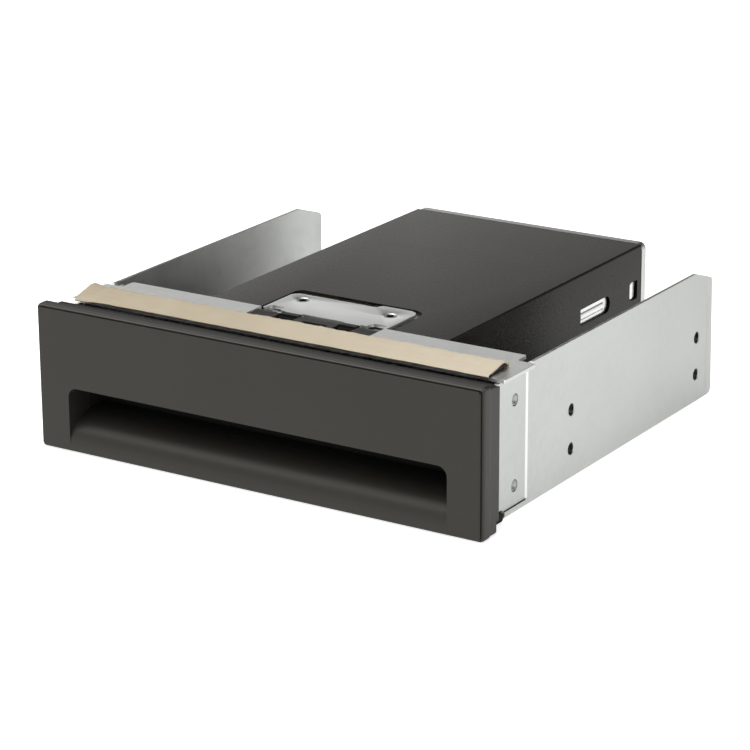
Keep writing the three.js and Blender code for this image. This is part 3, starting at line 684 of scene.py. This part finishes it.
def build_bezel():
    # rounded pan: rings from the rear edge round the front edge, on nested rounded rectangles
    def ring(y, inset, r, n=6):
        return [(x, y, z) for x, z in rrect(-76.1 + inset, 76.1 - inset, -0.5 + inset, 43.8 - inset, max(r, 0.15), n)]

    def ring2(y, hw, z0, z1, r, n=6):
        return [(x, y, z) for x, z in rrect(-hw, hw, z0, z1, r, n)]

    R = 0.75
    secs = [ring2(9.9, 75.72, -0.28, 42.92, 0.9), ring2(9.7, 75.8, -0.3, 43.0, 0.9), ring2(5.0, 75.84, -0.34, 43.04, 0.95), ring2(4.75, 75.9, -0.4, 43.25, 1.0),
            ring2(4.6, 76.0, -0.45, 43.6, 1.0), ring2(4.35, 76.1, -0.5, 43.8, 1.05)]
    # rounded shoulder, fine groove, then the rim of the flat face
    for y, d in ((2.0, 0.0), (1.65, 0.02), (1.3, 0.07), (1.02, 0.15), (0.82, 0.26), (0.70, 0.38), (0.66, 0.48), (0.95, 0.50), (0.95, 0.80), (0.30, 0.84), (0.2, 0.87), (0.1, 0.93), (0.03, 1.02), (0.0, 1.12)):
        secs.append(ring2(y, 76.1 - 0.85 * d, -0.5 + 0.85 * d, 43.8 - d, 1.05 - 0.25 * min(1, d)))
    pan = loft(secs)
    hollow = prism(rrect(-73.8, 73.8, 1.7, 41.0, 0.8, 4), "y", 2.4, 12)
    pan = cut(pan, hollow, box(-78, -72.6, 4.85, 11, 41.6, 46), box(-78, 78, 8.0, 11, 42.0, 46))
    under = [(1.0, 0.2), (1.0, 21.5), (18.8, 21.5), (18.8, 9.3), (13.0, 9.1), (9.0, 8.5), (6.0, 7.2), (4.6, 5.2), (4.2, 1.0), (4.2, 0.2)]
    body = prism(under, "x", -66.8, 66.8)
    adds = [body]
    for s in (1, -1):
        adds.append(box(*sgn(s, 51, 59), 8.0, 23.8, 1.4, 9.0))
        adds.append(box(*sgn(s, 67.4, 69.3), 2.2, 23.8, 17.0, 28.0))
        adds.append(box(*sgn(s, 71.9, 74.6), 6.0, 9.9, 0.2, 3.0))
        adds.append(prism(rrect(9.0, 17.0, 0.2, 3.0, [0, 0.8, 1.2, 0], 6), "x", *sgn(s, 71.9, 73.0)))
        # inner stiffening ribs
        adds.append(box(*sgn(s, 44.6, 45.8), 2.0, 9.4, 21.0, 41.5))
    adds.append(box(-0.6, 0.6, 2.0, 9.4, 21.0, 41.5))
    pan = union(pan, *adds)
    # finger scoop: smooth rolled floor
    key = [(0, 2.0), (0.35, 4.2), (1.2, 6.1), (2.5, 7.5), (4.2, 8.6), (6.6, 9.6), (9.6, 10.4), (13.0, 10.9), (17.0, 11.0)]
    fine = smooth_curve(key, 44)
    run = prism([(-3, 2.0)] + fine + [(17.0, 21.7), (-3, 21.7)], "x", -68, 68)
    mouth = prism(rrect(-65.0, 65.0, -4, 19.7, [0, 0, 3.0, 3.0], 12), "y", -2, 17.0)
    run = common(run, mouth)
    cuts = [run]
    for s in (1, -1):
        cuts.append(rod(1.45, 7.2, (s * 55, 20.2, 0.5), "+z", 24))
        cuts.append(box(*sgn(s, 65, 71), 19.0, 22.0, 19.5, 25.5))
        cuts.append(box(*sgn(s, 73.3, 77), 8.5, 10.5, -1.5, 3.3))
    pan = cut(pan, *cuts)
    soften(pan, 0.22, 38, 3, 0.4, weighted=True)
    return place(pan, "bezel", "chassis", BEZEL, "black_plastic", "front_bezel")


def smooth_curve(pts, n):
    """centripetal spline through the points, evenly resampled"""
    p = np.array([pts[0]] + list(pts) + [pts[-1]], float)
    p[0] = p[1] * 2 - p[2]
    p[-1] = p[-2] * 2 - p[-3]
    out = []
    for i in range(1, len(p) - 2):
        for t in np.linspace(0, 1, 24, endpoint=False):
            a, b, c, d = p[i - 1], p[i], p[i + 1], p[i + 2]
            out.append(0.5 * ((2 * b) + (-a + c) * t + (2 * a - 5 * b + 4 * c - d) * t * t + (-a + 3 * b - 3 * c + d) * t ** 3))
    out.append(p[-2])
    out = np.array(out)
    s = np.concatenate([[0], np.cumsum(np.hypot(*np.diff(out, axis=0).T))])
    q = np.linspace(0, s[-1], n + 1)
    return [(float(np.interp(v, s, out[:, 0])), float(np.interp(v, s, out[:, 1]))) for v in q]


def build_tray():
    # U section with real bend radii, lofted along the depth with the joggle at the front
    def section(y, hw, lean=0.0):
        ro, ri = 1.6, 0.6
        top = 42.6
        pts = [(-hw, top)] + arc(-hw + ro, ro, ro, 180, 270, 8) + arc(hw - ro, ro, ro, 270, 360, 8) + [(hw, top), (hw - 1, top)]
        pts += arc(hw - 1 - ri, 1 + ri, ri, 0, -90, 6) + arc(-hw + 1 + ri, 1 + ri, ri, 270, 180, 6) + [(-hw + 1, top)]
        out = []
        for x, z in pts:
            k = min(1, max(0, (z - 6) / 10))
            out.append((x - math.copysign(lean, x) * k, y, z))
        return out

    def both(low):
        out = [section(10.3, 73 if low else 72.6), section(29.55, 73 if low else 72.6)]
        for k in range(1, 8):
            t = k / 8
            out.append(section(29.55 + 0.7 * t, 73 if low else 72.6 + 0.4 * (3 * t * t - 2 * t ** 3)))
        out += [section(30.25, 73), section(140.6, 73)]
        for k in range(1, 7):
            t = k / 6
            out.append(section(140.6 + 4.7 * t, 73, 0.55 * t * t))
        return loft(out)

    # the strip under the slit stays out in the plane of the wall
    upper = common(both(False), box(-80, 80, 0, 150, 2.5, 60))
    tray = union(common(both(True), box(-80, 80, 0, 150, -5, 2.6)), upper)
    for s in (1, -1):
        for y in (55.5, 134.75):
            for z in (9.65, 21.49):
                collar = turn([(0, 70.4), (2.35, 70.4), (2.45, 70.55), (2.5, 71.6), (2.9, 71.9), (3.0, 72.3), (0, 72.3)], (0, y, z), "+x" if s > 0 else "-x", 40)
                tray = union(tray, collar)
    side = [(10.3, 0)] + arc(145.3 - 3.2, 3.2, 3.2, 270, 360, 10) + arc(145.3 - 1.9, 36.75, 1.9, 0, 72, 8)
    side += [(133.6, 42.02), (133.0, 42.12), (132.4, 42.16)] + [(33.1, 42.16), (32.8, 41.95), (32.5, 41.0), (32.2, 40.7), (10.3, 40.7)]
    tray = common(tray, prism(side, "x", -80, 80))
    cuts = []
    for s in (1, -1):
        for y in (55.5, 134.75):
            for z in (9.65, 21.49):
                cuts.append(rod(1.65, 6, (s * 69.5, y, z), "+x" if s > 0 else "-x", 40))
                cuts.append(turn([(0, 72.6), (1.6, 72.6), (1.98, 73.05), (1.98, 74), (0, 74)], (0, y, z), "+x" if s > 0 else "-x", 40))
                for q in range(4):  # thread crests
                    x0 = 70.55 + 0.5 * q
                    cuts.append(turn([(0, x0), (1.5, x0), (1.83, x0 + 0.2), (1.5, x0 + 0.4), (0, x0 + 0.4)], (0, y, z), "+x" if s > 0 else "-x", 32))
            cuts.append(rod(1.7, 4, (s * 67.5, y, -1), "+z", 40))
        for z in (8.4, 33.6):
            cuts.append(rod(1.7, 6, (s * 69, 23.7, z), "+x" if s > 0 else "-x", 32))
            cuts.append(turn([(0, 72.2), (1.65, 72.2), (1.85, 72.62), (1.85, 73.5), (0, 73.5)], (0, 23.7, z), "+x" if s > 0 else "-x", 32))
        cuts.append(prism(rrect(16.8, 29.5, 2.42, 2.66, [0, 0.1, 0.1, 0], 5), "x", *sgn(s, 68, 76)))
        cuts.append(prism(rrect(5, 17.8, -3, 3.4, [0, 0, 1.6, 0], 10), "x", *sgn(s, 70.9, 76)))
        cuts.append(turn([(0, -0.5), (2.95, -0.5), (1.7, 1.02), (1.7, 2), (0, 2)], (s * 55, 20.2, 0), "+z", 32))
        cuts.append(prism([(s * 68, 143.8), (s * 71.9, 139.6), (s * 71.9, 150), (s * 60, 150), (s * 60, 143.8)][:: (1 if s > 0 else -1)], "z", -1, 2.2))
    cuts.append(box(-62, 62, 143.8, 150, -1, 2.2))
    tray = cut(tray, *cuts)
    soften(tray, 0.14, 40, 2, 0.4)
    return place(tray, "tray", "chassis", GALV, "galvanised", "chassis_tray")


def build_frame():
    out = rrect(-74.4, 74.4, 15.0, 32.0, [0.6, 0.6, 0.8, 0.8], 5)
    plate = prism(out, "z", 41.0, 42.0)
    narrow = prism(rrect(-68.4, 68.4, 28.0, 37.5, [0, 0, 0.7, 0.7], 5), "z", 41.0, 42.0)
    fil = []
    for s in (1, -1):  # relief fillet where the plate narrows
        c = [(s * 68.0, 31.5), (s * 69.6, 31.5), (s * 69.6, 32.0)] + [(s * (69.6 - 1.2 * math.sin(math.radians(a))), 33.2 - 1.2 * math.cos(math.radians(a))) for a in range(0, 91, 15)] + [(s * 68.0, 33.2)]
        fil.append(prism(c if s > 0 else c[::-1], "z", 41.0, 42.0))
    wall = box(-70.8, 70.8, 27.2, 28.2, 1.3, 41.2)
    adds = [narrow, wall] + fil
    for s in (1, -1):
        f = prism([(16.2, 5.2), (37.6, 5.2), (37.6, 36), (36.0, 41.2), (16.2, 41.2)], "x", *sgn(s, 70.5, 71.5))
        adds.append(f)
    plate = union(plate, *adds)
    cuts = [prism(rrect(-21.4, 21.4, 29.0, 42, [0.8, 0.8, 0, 0], 6), "z", 40.0, 43.0)]
    for s in (1, -1):
        for z in (8.4, 33.6):
            cuts.append(rod(1.7, 6, (s * 68, 23.7, z), "+x" if s > 0 else "-x", 32))
    plate = cut(plate, *cuts)
    soften(plate, 0.16, 40, 2, 0.4)
    return place(plate, "top_plate", "chassis", PLATE, "galvanised", "front_frame")


def build_rivets():
    for s, side in ((1, "right"), (-1, "left")):
        for z, tag in ((8.4, "lower"), (33.6, "upper")):
            prof = [(0, 69.8), (1.7, 69.8), (1.9, 69.92), (1.9, 70.2), (1.6, 70.3), (1.6, 72.35), (1.5, 72.45), (1.3, 72.45), (1.1, 72.3), (0.75, 72.0), (0.35, 71.85), (0.0, 71.83)]
            ob = turn(prof, (0, 23.7, z), "+x" if s > 0 else "-x", 40)
            soften(ob, 0.05, 50, 2, 0.2)
            place(ob, f"rivet_{side}_{tag}", "chassis", DULL, "zinc", f"frame_rivet_{side}_{tag}")


def build_screw(name, node, body, prof, at, d, top, r_cross=1.1, depth=0.7, slot="zinc"):
    """turned screw with a cross recess cut into its head; top is the height of the head's crown along d"""
    ob = turn(prof, at, d, 36)
    ax = d[-1]
    sg = -1 if d[0] == "-" else 1
    w = 0.34
    cuts = []
    for k in range(2):
        pts = [(-r_cross, -w / 2), (-w / 2 if k else -w / 2, -w / 2), (r_cross, -w / 2), (r_cross, w / 2), (-r_cross, w / 2)]
        a = math.radians(22 + 90 * k)
        pts = [(x * math.cos(a) - y * math.sin(a), x * math.sin(a) + y * math.cos(a)) for x, y in ((-r_cross, -w / 2), (r_cross, -w / 2), (r_cross, w / 2), (-r_cross, w / 2))]
        i, j, kk = AX[ax]
        c = (at[i], at[j])
        pts = [(c[0] + x, c[1] + y) for x, y in pts]
        lo, hi = sorted((at[kk] + sg * (top - depth), at[kk] + sg * (top + 0.8)))
        cuts.append(prism(pts, ax, lo, hi))
    ob = cut(ob, *cuts)
    soften(ob, 0.05, 35, 2, 0.2)
    return place(ob, name, body, ZINC, slot, node)


def build_screws():
    for s, side in ((1, "right"), (-1, "left")):
        d = "+x" if s > 0 else "-x"
        build_screw(f"bezel_fixing_{side}", f"bezel_screw_{side}", "chassis",
                    [(0, -7.2), (1.1, -6.3), (1.2, -1.2), (2.35, -0.12), (2.3, -0.08), (0, -0.08)], (s * 55, 20.2, 0), "-z", -0.08, 1.2, 0.6)
        for y, tag in ((62, "front"), (142, "rear")):
            build_screw(f"cover_fixing_{side}_{tag}", f"cover_screw_{side}_{tag}", "carrier",
                        [(0, 39.0), (0.9, 39.0), (1.0, 39.1), (1.0, 41.95), (2.1, 41.95), (2.2, 42.05), (2.2, 42.35), (2.0, 42.65), (1.6, 42.87), (1.0, 42.98), (0, 43.0)], (0, y, 9.0), d, 43.0, 1.15, 0.6)
        build_screw(f"board_fixing_{side}", f"board_screw_{side}", "carrier",
                    [(0, 41.7), (1.1, 41.7), (1.1, 44.3), (2.3, 44.3), (2.3, 44.9), (2.0, 45.4), (1.4, 45.7), (0, 45.8)], (s * 34, 0, 21.8), "+y", 45.8, 1.2, 0.6)
        x = 15.3 * s
        # flush countersunk fastener with a dished centre
        prof = [(0, -3.6), (1.0, -3.6), (1.15, -3.45), (1.15, -1.0), (1.9, -0.12), (1.95, 0.0), (1.7, 0.06), (1.2, 0.0), (1.0, -0.12), (0.9, -0.6), (0.85, -1.6), (0, -1.7)]
        ob = turn(prof, (x, 50.3, 41.35), "+z", 40)
        soften(ob, 0.04, 50, 2, 0.2)
        place(ob, f"leaf_fixing_{side}", "carrier", FLUSH, "zinc", f"leaf_screw_{side}")
        for tag, z in (("lower", 6.5), ("upper", 23.0)):
            for yy, end in ((14.0, "front"), (90.6, "rear")):
                build_screw(f"drive_fixing_{tag}_{side}_{end}", f"drive_screw_{tag}_{side}_{end}", "sled",
                            [(0, 32.4), (0.95, 32.4), (1.05, 32.5), (1.05, 36.5), (2.0, 36.5), (2.1, 36.6), (2.1, 36.85), (1.9, 37.15), (1.5, 37.38), (0, 37.5)], (0, 51.2 + yy, z + 3.0), d, 37.5, 1.05, 0.5)


def build_gasket():
    """fabric sleeve over foam, long front slope, slightly uneven along its length"""
    key = [(15.3, 42.02), (14.6, 42.02), (14.0, 42.2), (13.95, 42.6), (14.9, 42.98), (18.0, 43.66), (20.4, 44.2), (22.2, 44.46), (23.6, 44.3), (24.8, 43.75), (25.55, 42.98), (25.68, 42.4), (25.3, 42.04)]
    prof = smooth_curve(key, 46)
    cx, cz = 20.6, 42.9
    rng = np.random.default_rng(7)
    ph = rng.uniform(0, 6.28, 8)

    def wob(x):
        a = 0.15 * math.sin(x * 0.21 + ph[0]) + 0.12 * math.sin(x * 0.47 + ph[1]) + 0.08 * math.sin(x * 1.1 + ph[2])
        b = 0.08 * math.sin(x * 0.17 + ph[3]) + 0.08 * math.sin(x * 0.63 + ph[4]) + 0.06 * math.sin(x * 1.7 + ph[5]) + 0.03 * math.sin(x * 3.1 + ph[6])
        return a, b

    def ring(x, off, wobble=1.0, pinch=1.0, open_below=False):
        dy, dz = wob(x)
        out = []
        for y, z in prof:
            vy, vz = y - cx, z - cz
            l = math.hypot(vy, vz)
            k = max(0.0, (z - 42.3) / 2.2)
            yy = y - vy / l * off + dy * wobble * 0.5 * (1 if vy < 0 else 0.4)
            zz = z - (off if vz > 0 else -off * 0.35) * (1 if abs(vz) > 0.2 else 0.5) + dz * wobble * k
            zz = 42.03 + (zz - 42.03) * pinch
            zz = min(zz, 44.9)
            lo = 41.9 if open_below and z < 42.35 else 42.02 + off * 0.6
            zz = 41.9 if open_below and z < 42.1 else max(zz, lo)
            if y < 14.95:
                # the cut left end sags over the edge of the plate
                g = math.exp(-((x + 72.0) / 7.0) ** 2)
                h = min(1.0, (14.95 - y) / 0.4)
                yy -= 0.5 * g * h
                zz -= 0.45 * g * h
            out.append((x, yy, zz))
        return out

    N = 160
    xs = np.linspace(-72.0, 69.7, N + 1)

    def end(x):
        # the left end stands up a little where the sleeve was cut, then dips
        d = x + 72.0
        k = 1.0 + 0.16 * math.exp(-(d / 1.5) ** 2) - 0.13 * math.exp(-((d - 3.9) / 1.6) ** 2)
        e = 69.7 - x
        return k if e > 1.6 else 0.93 + 0.07 * e / 1.6

    secs = [ring(x, 0.0, 1.0, end(x)) for x in xs]
    outer = loft(secs)
    inner = loft([ring(x, 0.34, 1.0, end(max(-72.0, min(69.7, x))), True) for x in np.linspace(-73, 71, N + 1)])
    cloth = cut(outer, inner)
    soften(cloth, 0.06, 50, 2, 0.0)
    place(cloth, "gasket_sleeve", "chassis", CLOTH, "gasket_cloth", "emi_gasket_fabric")
    # foam: cut a little proud of square, with a soft broken surface at each end
    fxs = list(np.linspace(-71.6, 69.3, 121))
    f = loft([ring(x, 0.5, 1.0, end(x)) for x in fxs])
    soften(f, 0.12, 50, 3, 0.0)
    place(f, "gasket_foam", "chassis", FOAM, "foam", "emi_gasket_core")


def build_hinge():
    py, pz = 35.5, 39.5
    mid = [(29.4, 33.2), (34.2, 33.2), (37.5, 36.8)] + arc(py, pz, 2.0, 0, 86, 14) + [(35.2, 41.45), (29.4, 41.45)]
    b = prism(mid, "x", -21.0, 21.0)
    ear = [(33.0, 36.0), (36.6, 36.0)] + arc(py, pz, 2.2, -50, 60, 16) + [(35.9, 41.5), (34.4, 41.5), (33.4, 41.3)]
    b = union(b, prism(ear, "x", 15.5, 20.0), prism(ear, "x", -20.0, -15.5), box(-27, 27, 28.6, 34.4, 37.6, 40.7))
    cuts = []
    for x0, x1 in ((-13.0, -7.1), (7.6, 13.0)):
        cuts.append(prism(rrect(x0 - 0.45, x1 + 0.45, 31.0, 40, [0.5, 0.5, 0, 0], 4), "z", 36.8, 43))
    cuts.append(rod(1.15, 60, (-30, py, pz), "+x", 40))
    cuts.append(prism(rrect(-3.6, 5.0, 30.4, 33.0, 0.5, 5), "z", 38.6, 43))
    b = cut(b, *cuts)
    soften(b, 0.16, 38, 3, 0.4)
    place(b, "hinge_knuckles", "chassis", BLOCK, "black_plastic", "hinge_block")
    pin = turn([(0, -0.0), (0.75, 0.0), (1.0, 0.25), (1.0, 40.75), (0.75, 41.0), (0, 41.0)], (-20.5, py, pz), "+x", 32)
    soften(pin, 0.03, 50, 1, 0.2)
    place(pin, "pin", "chassis", BRIGHT, "bright_steel", "hinge_pin")


def build_leaf():
    py, pz, R, T = 35.5, 39.5, 2.1, 1.0
    o = [(-21.3, 38.3)] + arc(-21.1, 38.3, 0.2, 180, 270, 3)
    o += [(-20.7, 38.1), (-20.5, 38.3)] + arc(-19.3, 40.0, 1.2, 180, 90, 8) + arc(-16.2, 40.0, 1.2, 90, 0, 8) + [(-15.0, 38.3), (-14.8, 38.1)]
    o += [(14.8, 38.1), (15.0, 38.3)] + arc(16.2, 40.0, 1.2, 180, 90, 8) + arc(19.3, 40.0, 1.2, 90, 0, 8) + [(20.5, 38.3), (20.7, 38.1)]
    o += [(21.1, 38.1), (21.3, 38.3)] + arc(17.9, 53.8, 3.4, 0, 90, 14) + [(8.9, 57.2), (8.5, 57.05), (7.5, 55.2), (7.1, 55.0), (-18.7, 55.0)]
    o += arc(-18.7, 52.4, 2.6, 90, 180, 12)
    leaf = prism(o, "z", 40.6, 41.6)
    ring = arc(py, pz, R, 90, 322, 36) + arc(py, pz, R - T, 322, 90, 30) + [(39.6, 40.6), (39.6, 41.6)]
    tabs = [prism(ring, "x", x0, x1) for x0, x1 in ((-13.0, -7.1), (7.6, 13.0))]
    leaf = union(leaf, *tabs)
    holes = [turn([(0, -3), (1.5, -3), (1.5, -0.95), (2.05, -0.22), (2.9, 0.02), (2.95, 0.4), (0, 0.4)], (x, 50.3, 41.6), "+z", 40) for x in (-15.3, 15.3)]
    leaf = cut(leaf, *holes)
    soften(leaf, 0.14, 40, 2, 0.4)
    return place(leaf, "leaf", "carrier", LEAF, "bright_steel", "hinge_leaf")


def build_cover():
    wrap = prism(rrect(-41.8, 41.8, 4.6, 41.0, [0, 0, 0.75, 0.75], 8), "y", 39.6, 157.2)
    inner = prism(rrect(-41.1, 41.1, 3.6, 40.3, [0, 0, 0.2, 0.2], 3), "y", 40.3, 159)
    cuts = [inner]
    leafhole = [(x, y) for x, y in rrect(-23.2, 22.2, 38.6, 60.1, [0, 0, 4.6, 2.4], 12)]
    cuts.append(prism(leafhole, "z", 39.0, 42.0))
    cuts.append(box(-23.2, 22.2, 38.6, 41.6, 38.4, 42))
    for s in (1, -1):
        cuts.append(prism(rrect(117.6, 136.6, 24.4, 29.8, [0.3, 2.6, 2.6, 0.3], 10), "x", *sgn(s, 40.9, 43)))
        cuts.append(prism(rrect(149.7, 154.8, 24.0, 30.1, 0.5, 5), "x", *sgn(s, 40.9, 43)))
        for y in (62, 142):
            cuts.append(rod(1.6, 4, (s * 40, y, 9.0), "+x" if s > 0 else "-x", 32))
    cover = cut(wrap, *cuts)
    soften(cover, 0.13, 40, 2, 0.4)
    return place(cover, "cover", "carrier", PAINT, "black_paint", "carrier_cover")


def build_shell():
    tube = prism(rrect(-40.8, 40.8, 3.6, 40.1, 1.0, 6), "y", 40.7, 160.2)
    rim = prism(rrect(-41.8, 41.8, 3.6, 41.0, [1.0, 1.0, 2.2, 2.2], 10), "y", 157.5, 160.2)
    adds = [rim]
    for s in (1, -1):
        # spring strip in the side window: a formed half-round bead with flat flanks
        bead = []
        for t in np.linspace(0, math.pi, 13):
            bead.append((s * (40.72 + 0.73 * math.sin(t)), 27.0 - 1.25 * math.cos(t)))
        bead = [(s * 40.3, 25.75)] + bead + [(s * 40.3, 28.25)]
        adds.append(prism(bead if s > 0 else bead[::-1], "y", 118.4, 133.2))
        adds.append(prism(rrect(118.4, 135.8, 24.9, 29.3, [0.2, 2.0, 2.0, 0.2], 8), "x", *sgn(s, 40.5, 40.95)))
        adds.append(prism(rrect(150.4, 151.9, 24.6, 29.5, 0.4, 4), "x", *sgn(s, 40.5, 41.45)))
        adds.append(prism(rrect(151.8, 154.0, 24.6, 29.5, 0.4, 4), "x", *sgn(s, 40.5, 40.95)))
    tube = union(tube, *adds)
    inside = prism(rrect(-40.0, 40.0, 4.4, 39.3, 0.6, 5), "y", 41.5, 163)
    lead = loft([[(x, y, z) for x, z in rrect(-40.0 - k, 40.0 + k, 4.4 - 0.6 * k, 39.3 + k, 0.6 + k, 5)] for y, k in ((158.8, -0.02), (159.4, 0.08), (159.9, 0.25), (160.3, 0.5), (163, 0.5))])
    cuts = [inside, lead]
    for s in (1, -1):
        for y in (62, 142):
            cuts.append(rod(1.3, 6, (s * 38, y, 9.0), "+x" if s > 0 else "-x", 32))
    for x in (-15.3, 15.3):
        cuts.append(rod(1.5, 4, (x, 50.3, 38), "+z", 32))
    for x0, x1 in ((-9.8, -5.2), (0.4, 5.0)):
        cuts.append(prism(rrect(x0, x1, 57.4, 61.2, 0.4, 4), "z", 38, 42))
    tube = union(tube, *[prism(rrect(*sgn(s, 15.8, 19.7), 38.9, 41.2, [0.9, 0.9, 0, 0], 6), "z", 39.35, 40.1) for s in (1, -1)])
    tube = cut(tube, *cuts)
    soften(tube, 0.14, 40, 2, 0.4)
    return place(tube, "shell", "carrier", RIM, "bright_steel", "carrier_shell")


def build_rest():
    for a in ("right", "left"):
        for b in ("front", "rear"):
            x, y = (32 if a == "right" else -32), (60 if b == "front" else 136)
            ob = turn([(0, 1.0), (3.9, 1.0), (4.0, 1.1), (4.0, 2.3), (3.9, 2.55), (3.35, 3.1), (3.1, 3.2), (1.6, 3.2), (1.3, 2.9), (0, 2.8)], (x, y, 0), "+z", 40)
            soften(ob, 0.06, 50, 2, 0.2)
            place(ob, f"bumper_{a}_{b}", "chassis", RUBBER, "rubber", f"rest_bumper_{a}_{b}")
        refine(f"guide_rail_{a}", "carrier", NYLON, "nylon", 0.2)
    refine("backplane_board", "carrier", PCB, "circuit_board", 0.1)
    for t in ("lower", "upper"):
        refine(f"backplane_socket_{t}", "carrier", CONN, "connector_plastic", 0.12)
        refine(f"drive_base_{t}", "sled", CAST, "cast_aluminium", 0.3)
        refine(f"drive_lid_{t}", "sled", LID, "lid_steel", 0.2)
        refine(f"drive_pcb_{t}", "sled", PCB, "circuit_board", 0.08)
        refine(f"drive_plug_{t}", "sled", CONN, "connector_plastic", 0.12)
    refine("drive_sled", "sled", SLED, "galvanised", 0.12)
    refine("sled_handle", "sled", NYLON, "nylon", 0.3)


build_bezel()
build_tray()
build_frame()
build_rivets()
build_screws()
build_gasket()
build_hinge()
build_leaf()
build_cover()
build_shell()
build_rest()

bpy.context.view_layer.update()
